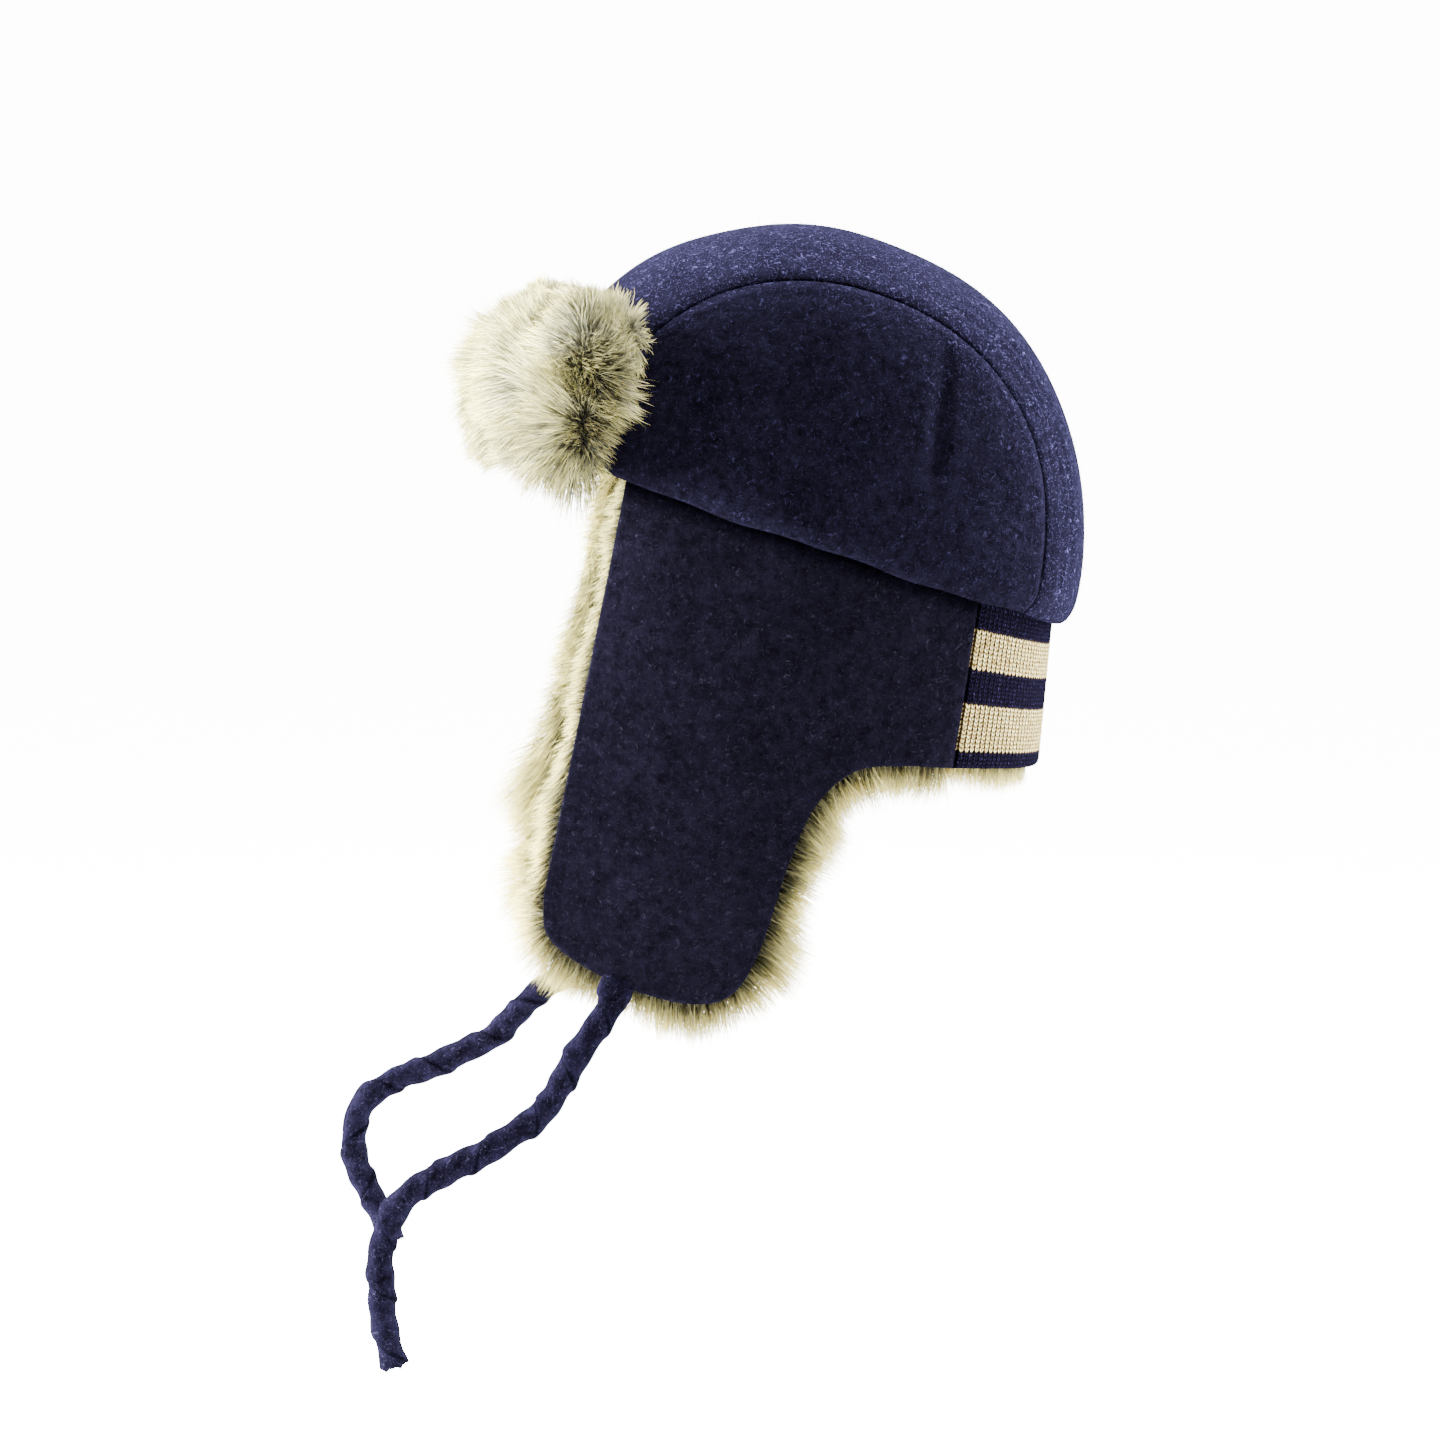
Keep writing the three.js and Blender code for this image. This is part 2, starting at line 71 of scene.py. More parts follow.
def makeCamera():
    azimuth, elevation = math.radians(shot["azimuth"]), math.radians(shot["elevation"])
    right = Vector((math.cos(azimuth), math.sin(azimuth), 0))
    back = Vector((
        math.sin(azimuth) * math.cos(elevation),
        -math.cos(azimuth) * math.cos(elevation),
        math.sin(elevation),
    ))
    up = back.cross(right)
    hemCentre = -Vector(hat["seat"]) * mm
    target = hemCentre + right * shot["targetRight"] + up * shot["targetUp"]
    data = bpy.data.cameras.new("camera")
    data.sensor_fit = "HORIZONTAL"
    data.angle = 2 * math.atan(shot["frameWidth"] / 2 / shot["distance"])
    data.clip_end = 60
    camera = bpy.data.objects.new("camera", data)
    bpy.context.scene.collection.objects.link(camera)
    axes = Matrix((right, up, back)).transposed().to_4x4()
    camera.matrix_world = Matrix.Translation(target + back * shot["distance"]) @ axes
    bpy.context.scene.camera = camera


makeCamera()
print("stage: camera")


# ---- numbers and surfaces
def ease(value, low, high):
    # smooth step from 0 to 1 as value goes from low to high
    t = np.clip((value - low) / (high - low), 0, 1)
    return t * t * (3 - 2 * t)


def mix(a, b, t):
    return a + (b - a) * t


def unit(vectors):
    return vectors / np.maximum(np.linalg.norm(vectors, axis=-1, keepdims=True), 1e-9)


def runOf(rows):
    # distance walked along the rows of points
    return np.concatenate([[0], np.cumsum(np.linalg.norm(np.diff(rows, axis=0), axis=1))])


def place(points):
    # tips hat points about y and moves them to the frame, in metres
    c, s = math.cos(math.radians(hat["tilt"])), math.sin(math.radians(hat["tilt"]))
    x, y, z = points[..., 0], points[..., 1], points[..., 2]
    return (np.stack([c * x + s * z, y, c * z - s * x], -1) - np.array(hat["seat"])) * mm


hemTurn = np.pi * np.linspace(0, 1, 6001)
hemPower = 2 / hat["squareness"]
hemX = -np.sign(np.cos(hemTurn)) * np.abs(np.cos(hemTurn)) ** hemPower * hat["halfLength"]
hemY = -np.abs(np.sin(hemTurn)) ** hemPower * hat["halfWidth"]
hemRun = runOf(np.stack([hemX, hemY], -1))
halfHem = hemRun[-1]


def hemPoint(around):
    # a superellipse walked by length: around from the front centre, left side first
    folded = np.where(np.abs(around) > halfHem, 2 * halfHem - np.abs(around), np.abs(around))
    x = np.interp(folded, hemRun, hemX)
    y = np.interp(folded, hemRun, hemY)
    onRight = (around > halfHem) | (around < 0)
    return np.stack([x, np.where(onRight, -y, y), 0 * x], -1)


def hemOutwards(around):
    along = unit(hemPoint(around + 1) - hemPoint(around - 1))
    return np.stack([along[..., 1], -along[..., 0], 0 * along[..., 0]], -1)


def puff(height):
    # the fold that stands out above the hem: rises as r and dies away as exp(1 - r)
    ratio = np.maximum(height, 0) / hat["blouseHeight"]
    return ratio * np.exp(1 - ratio)


def seamAngle(turn):
    # angle from the side pole to the strip's seam, the strip a little wider at both ends
    degrees = np.degrees(turn)
    front, back = 1 - ease(degrees, 0, 40), ease(degrees, 140, 180)
    extra = hat["frontExtra"] * front + hat["backExtra"] * back
    return np.arccos((hat["stripHalfWidth"] + extra) / hat["halfWidth"])


creases = {
    "seamDepth": 0.7, "seamReach": 2.4,
    "welt": 0.35, "weltAt": 4.6, "weltReach": 1.4,  # ridge of the seam allowance
    "dartDepth": 3.4, "dartReach": 3.6, "dartTop": (27, 100), "dartBottom": (37, 44),
    # ridges beside the strip's seam at the back, with the turns in degrees where they grow and fade
    "gather": 1.25, "gatherSpacing": 6.4, "gatherWidth": 30.0,
    "gatherGrows": (92, 128), "gatherFades": (160, 176),
    "hollow": 0.88, "hemWave": 0.55,
}


def crownPoint(turn, across):
    # a superellipsoid: turn runs over the head from face to back, across from left to right
    c = creases
    x = -hat["halfLength"] * np.cos(turn) * np.sin(across)
    y = -hat["halfWidth"] * np.cos(across)
    z = hat["height"] * np.sin(turn) * np.sin(across)
    power = hat["squareness"]
    level = np.abs(x / hat["halfLength"]) ** power + np.abs(y / hat["halfWidth"]) ** power
    fullness = mix(hat["fullnessBack"], hat["fullnessFront"], (1 + np.cos(turn)) / 2)
    scale = (level ** (fullness / power) + np.abs(z / hat["height"]) ** fullness) ** (1 / fullness)
    point = np.stack([x, y, z], -1) / scale[..., None]
    side = np.minimum(across, np.pi - across)
    offSeam = hat["halfWidth"] * (side - seamAngle(turn))  # negative on the side panel
    x, y, height = np.moveaxis(point, -1, 0)
    low = ease(height, 5, 22)
    dip = c["seamDepth"] * np.exp(-((offSeam / c["seamReach"]) ** 2)) * mix(0.5, 1, low)
    dip = dip - c["welt"] * np.exp(-(((np.abs(offSeam) - c["weltAt"]) / c["weltReach"]) ** 2)) * low
    degrees = np.degrees(turn)
    back = ease(degrees, *c["gatherGrows"]) * (1 - 0.6 * ease(degrees, *c["gatherFades"]))
    inGather = ease(offSeam, 1, 7) * (1 - ease(offSeam, c["gatherWidth"] * 0.6, c["gatherWidth"]))
    wander = 1.1 * np.sin(turn * 7.0 + offSeam * 0.12)
    ridges = np.sin(2 * np.pi * (offSeam + wander) / c["gatherSpacing"])
    dip = dip - c["gather"] * back * inGather * ridges
    top, bottom = np.array(c["dartTop"], float), np.array(c["dartBottom"], float)
    run = bottom - top
    fromTop = np.stack([x, height], -1) - top
    t = np.clip((fromTop @ run) / (run @ run), 0, 1)
    off = np.linalg.norm(fromTop - t[..., None] * run, axis=-1)
    dart = c["dartDepth"] * np.exp(-((off / c["dartReach"]) ** 2)) * ease(-offSeam, 3, 16)
    slack = np.sin(x / 31 + 1.2) * np.sin(height / 23 + y / 60 + 0.4)
    slack = slack + 0.6 * np.sin(x / 15 + height / 19)
    sag = c["hollow"] * slack * ease(np.abs(offSeam), 6, 26) * ease(height, 8, 30)
    push = 1 + hat["blouseDepth"] * puff(height) / np.maximum(np.hypot(x, y), 1)
    point = point * np.stack([push, push, np.ones_like(push)], -1)
    size = np.maximum(np.linalg.norm(point, axis=-1), 1)
    point = point * (1 - (dip + sag) / size)[..., None]
    inwards = dart * np.minimum(1, np.abs(point[..., 1]) / hat["halfWidth"])
    point[..., 1] -= np.sign(point[..., 1]) * inwards
    wave = np.sin(point[..., 0] / 13 + 1) + 0.6 * np.sin(point[..., 0] / 5.7 + point[..., 1] / 40)
    point[..., 2] += c["hemWave"] * wave * (1 - ease(height, 0, 18))
    return point


def bandPoint(around, down):
    # the hem line sheared back, flattened and closed in towards the chin as it goes down
    point = hemPoint(around)
    folded = np.minimum(around, 2 * halfHem - around)
    below = np.maximum(down, 0)
    depth = below / hat["dropDepth"]
    flat = hat["flatten"] * ease(depth, 0.1, 1) * (1 - ease(folded, 210, hat["knitSeam"]))
    level = mix(np.abs(point[..., 1]), hat["halfWidth"] * hat["flatAt"], flat)
    side = np.where(point[..., 1] < 0, -1, 1)
    x = point[..., 0] + below * math.tan(math.radians(hat["lean"]))
    x = x + hat["napeFlare"] * depth * ease(folded, 200, halfHem)
    return np.stack([x, side * level * (1 - hat["closing"] * depth ** 1.6), -down], -1)


def crossed(surface, u, v, step):
    alongU = surface(u + step, v) - surface(u - step, v)
    alongV = surface(u, v + step) - surface(u, v - step)
    return unit(np.cross(alongU, alongV))


def normalsOf(surface, u, v):
    # cross product of the two slopes, read a little inside the border
    return crossed(surface, np.clip(u, 0.01, 0.99), np.clip(v, 0.01, 0.99), 2e-3)


def sidePanel(u, v):
    # half disc round the side pole: a Coons patch of its hem line and three stretches of its seam
    corner = math.radians(50)

    def seam(turn):
        reach = seamAngle(turn) - hat["seamGap"] / hat["halfWidth"]
        return np.stack([-reach * np.cos(turn), reach * np.sin(turn)], -1)

    zero = np.zeros_like(u)
    u1, v1 = u[..., None], v[..., None]
    hem = mix(seam(zero), seam(zero + np.pi), u1)
    high = seam(mix(corner, np.pi - corner, u))
    front, rear = seam(corner * v), seam(np.pi - corner * v)
    corners = mix(hem, mix(seam(zero + corner), seam(zero + np.pi - corner), u1), v1)
    spread = mix(hem, high, v1) + mix(front, rear, u1) - corners
    return crownPoint(np.arctan2(spread[..., 1], -spread[..., 0]), np.linalg.norm(spread, axis=-1))


def topStrip(u, v):
    turn = np.pi * u
    seam = seamAngle(turn) + hat["seamGap"] / hat["halfWidth"]
    return crownPoint(turn, mix(seam, np.pi - seam, v))


def curveThrough(rows, count=600):
    # Catmull-Rom curve through the rows
    rows = np.asarray(rows, float)
    padded = np.concatenate([[2 * rows[0] - rows[1]], rows, [2 * rows[-1] - rows[-2]]])
    t = np.linspace(0, len(rows) - 1, count)
    i = np.minimum(t.astype(int), len(rows) - 2)
    f = (t - i)[:, None]
    a, b, c, d = padded[i], padded[i + 1], padded[i + 2], padded[i + 3]
    square, cube = 2 * a - 5 * b + 4 * c - d, 3 * b - a - 3 * c + d
    return 0.5 * (2 * b + (c - a) * f + square * f ** 2 + cube * f ** 3)


edgeCurve = curveThrough(flapEdge)
edgeRun = runOf(edgeCurve)


def edgePlace(u):
    walked = np.clip(u, 0, 1) * edgeRun[-1]
    return np.stack([np.interp(walked, edgeRun, edgeCurve[:, k]) for k in (0, 1)], -1)


def flapPlace(u, v):
    # 0.2 mm are left free beside the knit
    around = mix(hat["flapFront"], hat["knitSeam"] - 0.2, u)
    top = np.stack([around, np.full_like(u, -hat["bandTop"])], -1)
    edge = edgePlace(u)
    edge[..., 0] -= 0.2 * u
    return mix(edge, top, v[..., None])


def flapSurface(u, v):
    return bandPoint(*np.moveaxis(flapPlace(u, v), -1, 0))


knit = {
    "thickness": 3.5, "roll": 2.6, "depthMiddle": 56.0, "depthSides": 66.0,
    "column": 2.7, "row": 1.75, "slant": 0.8,  # slant: rows that a stitch's leg slopes over
    "stripes": ((9.0, 25.5), (39.5, 58.5)),  # tan yarn, from and to in distances below the hem
}


def knitPlace(u, v):
    around = mix(hat["knitSeam"], 2 * halfHem - hat["knitSeam"], u)
    depth = mix(knit["depthMiddle"], knit["depthSides"], (2 * u - 1) ** 2)
    return np.stack([around, mix(depth, -hat["bandTop"], v)], -1)


def knitSurface(u, v):
    return bandPoint(*np.moveaxis(knitPlace(u, v), -1, 0))


visor = {
    "halfWidth": 76.0, "low": -3.0, "high": 63.0, "topCorner": 9.0, "lowCorner": 2.7,
    "clearance": 0.8, "leanIn": 6.0,
}


def visorSurface(u, v):
    # the hem line carried up over the crown's fold, leaning in towards its rounded top
    around = mix(-visor["halfWidth"], visor["halfWidth"], u)
    rounding = np.abs(2 * u - 1) ** 6
    low = visor["low"] + visor["lowCorner"] * rounding
    up = mix(low, visor["high"] - visor["topCorner"] * rounding, v)
    bulge = hat["blouseDepth"] * puff(np.minimum(up, hat["blouseHeight"]))
    out = visor["clearance"] + bulge - visor["leanIn"] * ease(up, 40, visor["high"])
    point = hemPoint(around) + hemOutwards(around) * out[..., None]
    point[..., 2] = up
    return point


# ---- meshes
def makePiece(name, points, faces, material, attributes=(), uv=None, normals=None):
    # faces is a list of index arrays, three or four columns each; points are in metres
    mesh = bpy.data.meshes.new(name)
    sizes = np.concatenate([np.full(len(f), f.shape[1]) for f in faces])
    corners = np.concatenate([f.ravel() for f in faces]).astype(np.int32)
    mesh.vertices.add(len(points))
    mesh.vertices.foreach_set("co", points.astype(np.float32).ravel())
    mesh.loops.add(len(corners))
    mesh.loops.foreach_set("vertex_index", corners)
    mesh.polygons.add(len(sizes))
    starts = np.concatenate([[0], np.cumsum(sizes)[:-1]])
    mesh.polygons.foreach_set("loop_start", starts.astype(np.int32))
    mesh.update(calc_edges=True)
    mesh.polygons.foreach_set("use_smooth", np.ones(len(sizes), bool))
    for key, values in dict(attributes).items():
        layer = mesh.attributes.new(key, "FLOAT", "POINT")
        layer.data.foreach_set("value", values.astype(np.float32).ravel())
    if uv is not None:
        layer = mesh.uv_layers.new(name="surface")
        layer.data.foreach_set("uv", uv[corners].astype(np.float32).ravel())
    if normals is not None:
        mesh.normals_split_custom_set_from_vertices(unit(normals).astype(np.float32))
    mesh.materials.append(material)
    piece = bpy.data.objects.new(name, mesh)
    bpy.context.scene.collection.objects.link(piece)
    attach(piece, "root")
    return piece


def edged(count, border=0.02):
    # even places from 0 to 1 with five closer ones at each end, for a rolled edge
    close = border * (1 - np.cos(np.linspace(0, np.pi / 2, 6)))[:-1]
    return np.concatenate([close, np.linspace(border, 1 - border, count), 1 - close[::-1]])


def borderDistance(points):
    # shortest way along a grid line from each grid point to the border
    shortest = None
    for axis in (0, 1):
        steps = np.linalg.norm(np.diff(points, axis=axis), axis=-1)
        pad = [(1, 0), (0, 0)] if axis == 0 else [(0, 0), (1, 0)]
        run = np.pad(np.cumsum(steps, axis=axis), pad)
        total = np.take(run, [-1], axis=axis)
        both = np.minimum(run, total - run)
        shortest = both if shortest is None else np.minimum(shortest, both)
    return shortest


def gridFaces(index):
    corners = (index[:-1, :-1], index[1:, :-1], index[1:, 1:], index[:-1, 1:])
    return np.stack(corners, -1).reshape(-1, 4)


def shell(surface, us, vs, outer, inner, roll, relief=None):
    # a wall between two offsets of a surface whose border is rounded over the distance roll;
    # gives its points, its faces and each point's u and v
    u, v = np.meshgrid(us, vs, indexing="ij")
    foot, normal = surface(u, v), normalsOf(surface, u, v)
    reach = roll(foot) if callable(roll) else roll
    round_ = np.sqrt(1 - (1 - np.clip(borderDistance(foot) / reach, 0, 1)) ** 2)
    middle = (outer + inner) / 2
    lift = 0 if relief is None else relief(u, v, foot) * round_
    front = foot + normal * (mix(middle, outer, round_) + lift)[..., None]
    rear = foot + normal * (mix(middle, inner, round_) + lift)[..., None]
    count = u.size
    index = np.arange(count).reshape(u.shape)
    border = np.zeros(u.shape, bool)
    border[[0, -1], :] = True
    border[:, [0, -1]] = True
    rearIndex = np.where(border, index, count + np.cumsum(~border).reshape(u.shape) - 1)
    faces = [gridFaces(index), gridFaces(rearIndex)[:, [0, 3, 2, 1]]]
    points = np.concatenate([front.reshape(-1, 3), rear[~border]])
    spots = np.stack([u, v], -1)
    return points, faces, np.concatenate([spots.reshape(-1, 2), spots[~border]])


def mirrored(points, faces):
    return points * np.array([1, -1, 1]), [f[:, ::-1] for f in faces]


def ribbons(roots, directions, bends, lengths, widths, tones, hints, start=0.0):
    # flat hairs: three crosswise pairs of points and a tip, at root + length (d t + bend t^2)
    # start is how far along the hair's colours the visible hair begins
    rings, taper = np.array([0.0, 0.42, 0.78]), np.array([1.0, 0.85, 0.5])
    sideways = unit(np.cross(directions, unit(rng.normal(size=directions.shape))))
    t = rings[None, :, None]
    size = lengths[:, None, None]
    centre = roots[:, None] + size * (directions[:, None] * t + bends[:, None] * t * t)
    half = 0.5 * widths[:, None, None] * taper[None, :, None] * sideways[:, None]
    tip = roots + lengths[:, None] * (directions + bends)
    pairs = np.stack([centre - half, centre + half], 2).reshape(len(roots), 6, 3)
    points = np.concatenate([pairs, tip[:, None]], 1)
    base = 7 * np.arange(len(roots))[:, None]
    quads = (base + np.array([[0, 1, 3, 2, 2, 3, 5, 4]])).reshape(-1, 4)
    tips = base + np.array([[4, 5, 6]])
    along = np.tile([*np.repeat(rings, 2), 1.0], len(roots))
    return {
        "points": points.reshape(-1, 3),
        "faces": [quads, tips],
        "along": start + (1 - start) * along,
        "tone": np.repeat(tones, 7),
        "normals": np.repeat(hints, 7, axis=0),
    }


def joined(parts):
    # several sets of points and faces as one
    offset, faces = 0, []
    for part in parts:
        faces += [f + offset for f in part["faces"]]
        offset += len(part["points"])
    keys = ("points", "along", "tone", "normals")
    return {key: np.concatenate([p[key] for p in parts]) for key in keys} | {"faces": faces}


def makeHairs(name, parts, material, flip=False):
    # one piece of all the parts, mirrored for the right side
    whole = joined(parts)
    points, faces, normals = whole["points"], whole["faces"], whole["normals"]
    if flip:
        points, faces = mirrored(points, faces)
        normals = normals * [1, -1, 1]
    looks = {"along": whole["along"], "tone": whole["tone"]}
    return makePiece(name, points, faces, material, looks, normals=normals)


def clumped(roots, directions, bends, lengths, count, pull):
    # hairs gather into locks: each tip is drawn towards the tip of its nearest lock's own hair
    seeds = rng.choice(len(roots), count, replace=False)
    nearest = np.empty(len(roots), int)
    for start in range(0, len(roots), 4000):
        gap = roots[start:start + 4000, None] - roots[seeds][None]
        nearest[start:start + 4000] = np.argmin((gap ** 2).sum(-1), axis=1)
    lock = seeds[nearest]
    tips = roots + lengths[:, None] * (directions + bends)
    drawn = (tips[lock] - tips) * pull
    return bends + drawn / lengths[:, None], nearest


# ---- materials
def linear(red, green, blue):
    # sRGB 0 to 255 as a linear colour
    value = np.array([red, green, blue]) / 255
    value = np.where(value <= 0.04045, value / 12.92, ((value + 0.055) / 1.055) ** 2.4)
    return (*value.tolist(), 1.0)


def grey(level):
    return (level, level, level, 1)


def newMaterial(name, roughness, specular=0.0):
    material = bpy.data.materials.new(name)
    material.use_nodes = True
    tree = material.node_tree
    shader = tree.nodes["Principled BSDF"]
    shader.inputs["Roughness"].default_value = roughness
    shader.inputs["Specular IOR Level"].default_value = specular
    return material, tree, shader


def feed(tree, socket, value):
    # a constant or another node's output
    if isinstance(value, (int, float, tuple)):
        socket.default_value = value
    else:
        tree.links.new(value, socket)


def addNode(tree, kind, inputs, **settings):
    node = tree.nodes.new("ShaderNode" + kind)
    for key, value in settings.items():
        setattr(node, key, value)
    for key, value in dict(inputs).items():
        feed(tree, node.inputs[key], value)
    return node


def dress(tree, shader, colour, sheen, tint):
    tree.links.new(colour, shader.inputs["Base Color"])
    shader.inputs["Sheen Weight"].default_value = sheen
    shader.inputs["Sheen Tint"].default_value = linear(*tint)


def coordinates(tree):
    return tree.nodes.new("ShaderNodeTexCoord").outputs["Object"]


def attribute(tree, name):
    return addNode(tree, "Attribute", {}, attribute_name=name).outputs["Fac"]


def calculate(tree, operation, *values):
    return addNode(tree, "Math", enumerate(values), operation=operation).outputs[0]


def ramp(tree, source, *stops):
    # each stop is a position and a colour, or one number for a grey
    node = addNode(tree, "ValToRGB", {0: source})
    elements = node.color_ramp.elements
    while len(elements) < len(stops):
        elements.new(0.5)
    for element, (position, colour) in zip(elements, stops):
        element.position = position
        element.color = colour if isinstance(colour, tuple) else grey(colour)
    return node.outputs[0]


def blendColours(tree, factor, first, second, mode="MIX"):
    inputs = {0: factor, 6: first, 7: second}
    return addNode(tree, "Mix", inputs, data_type="RGBA", blend_type=mode).outputs[2]


def multiplied(tree, first, second):
    return blendColours(tree, 1.0, first, second, "MULTIPLY")


def noise(tree, scale, detail, roughness=0.6, distortion=0.0):
    return addNode(tree, "TexNoise", {
        "Vector": coordinates(tree), "Scale": scale, "Detail": detail, "Roughness": roughness,
        "Distortion": distortion}).outputs["Fac"]


def bump(tree, height, strength, distance, after=None):
    inputs = {"Height": height, "Strength": strength, "Distance": distance}
    if after is not None:
        inputs["Normal"] = after
    return addNode(tree, "Bump", inputs).outputs["Normal"]


def fibreLines(tree, scale, width):
    # thin curling lines: where a noise passes through its middle value
    level = noise(tree, scale, 1.0, 0.5, 0.9)
    off = calculate(tree, "ABSOLUTE", calculate(tree, "SUBTRACT", level, 0.5))
    return ramp(tree, off, (0, 1), (width, 0))


def hemShade(tree):
    # painted shadow in the fold just below the hem: reads the height above the hem's tilted plane
    tilt = math.radians(hat["tilt"])
    inputs = {0: coordinates(tree), 1: (math.sin(tilt), 0, math.cos(tilt))}
    height = addNode(tree, "VectorMath", inputs, operation="DOT_PRODUCT")
    level = mm * (math.sin(tilt) * hat["seat"][0] + math.cos(tilt) * hat["seat"][2])
    drop = calculate(tree, "MULTIPLY_ADD", height.outputs["Value"], -100.0, -100.0 * level)
    return ramp(tree, drop, (0, (0.12, 0.12, 0.14, 1)), (0.2, (0.35, 0.35, 0.38, 1)), (0.75, 1))


def ridge(tree):
    # 1 over the middle strip of the crown, 0 at its sides: where the painted top light goes
    split = addNode(tree, "SeparateXYZ", {0: coordinates(tree)})
    return ramp(tree, calculate(tree, "ABSOLUTE", split.outputs["Y"]), (0.05, 1), (0.066, 0))


# layers of fibre lines: scale, width of a line, and the noise level below which it is broken away
fibreLayers = ((210, 0.018, 0.5), (380, 0.024, 0.5), (640, 0.03, 0.52))


def woolMaterial(name, deep, pale, fleck, sheen, paintedHemShadow=False, paintedTopLight=0.0, paintedLapShadow=False):
    # boiled wool: mottled ground with layers of fibre lines, each broken into short curls
    material, tree, shader = newMaterial(name, 0.92)
    strokes = None
    for scale, width, low in fibreLayers:
        broken = ramp(tree, noise(tree, scale * 1.7, 1), (low, 0), (low + 0.12, 1))
        layer = calculate(tree, "MULTIPLY", fibreLines(tree, scale, width), broken)
        strokes = layer if strokes is None else calculate(tree, "MAXIMUM", strokes, layer)
    mottle = noise(tree, 240, 5, 0.7)
    cloud = ramp(tree, noise(tree, 38, 5, 0.65), (0.3, 0.72), (0.7, 1.2))
    ground = multiplied(tree, ramp(tree, mottle, (0.34, deep), (0.68, pale)), cloud)
    # painted light: the top strip's ground is lifted towards the fleck colour, as if lit from above
    # and behind
    onRidge = ridge(tree)
    lift = calculate(tree, "MULTIPLY", onRidge, paintedTopLight * 0.05)
    ground = blendColours(tree, lift, ground, fleck)
    # pale fibre flecks all over at 0.15 are the wool's own colour; the extra ones on the top strip
    # are painted highlight
    strength = calculate(tree, "MULTIPLY_ADD", onRidge, paintedTopLight, 0.15)
    colour = blendColours(tree, calculate(tree, "MULTIPLY", strokes, strength), ground, fleck)
    # painted shadow on the flap's felt just below the crown's hem, where the fold overhangs it
    if paintedHemShadow:
        colour = multiplied(tree, colour, hemShade(tree))
    # painted shade along the crease of the ties' rolled lap
    if paintedLapShadow:
        shadow = ramp(tree, attribute(tree, "crease"), (0.1, 1), (0.9, (0.2, 0.2, 0.22, 1)))
        colour = multiplied(tree, colour, shadow)
    dress(tree, shader, colour, sheen, (172, 170, 232))
    nap = noise(tree, 700, 4, 0.7)
    matted = calculate(tree, "ADD", nap, calculate(tree, "MULTIPLY", strokes, 0.7))
    fine = bump(tree, matted, 0.75, 0.0008)
    coarse = bump(tree, noise(tree, 120, 4, 0.7), 0.6, 0.0014, fine)
    tree.links.new(coarse, shader.inputs["Normal"])
    return material


def furMaterial(name, root, middle, body, tip, glow):
    # each hair runs from a dark root to a pale tip; tone sets its lock lighter or darker
    material, tree, shader = newMaterial(name, 0.6, 0.12)
    along, tone = attribute(tree, "along"), attribute(tree, "tone")
    hair = ramp(tree, along, (0.06, root), (0.36, middle), (0.72, body), (0.97, tip))
    shade = ramp(tree, tone, (0, (0.4, 0.4, 0.37, 1)), (0.5, 1), (1, (1.5, 1.48, 1.36, 1)))
    cloud = noise(tree, 45, 2)
    patch = ramp(tree, cloud, (0.32, (0.72, 0.72, 0.7, 1)), (0.66, (1.15, 1.13, 1.07, 1)))
    hair = multiplied(tree, multiplied(tree, hair, shade), patch)
    dress(tree, shader, hair, 0.12, (255, 246, 214))
    through = addNode(tree, "BsdfTranslucent", {"Color": hair})
    both = addNode(tree, "MixShader", {0: glow, 1: shader.outputs[0], 2: through.outputs[0]})
    tree.links.new(both.outputs[0], tree.nodes["Material Output"].inputs["Surface"])
    return material


def hairMaterial(name, dark, light):
    # the nap's loose fibres, navy to pale lavender
    material, tree, shader = newMaterial(name, 0.8)
    colour = ramp(tree, attribute(tree, "tone"), (0.35, dark), (1, light))
    dress(tree, shader, colour, 0.05, (170, 168, 235))
    return material


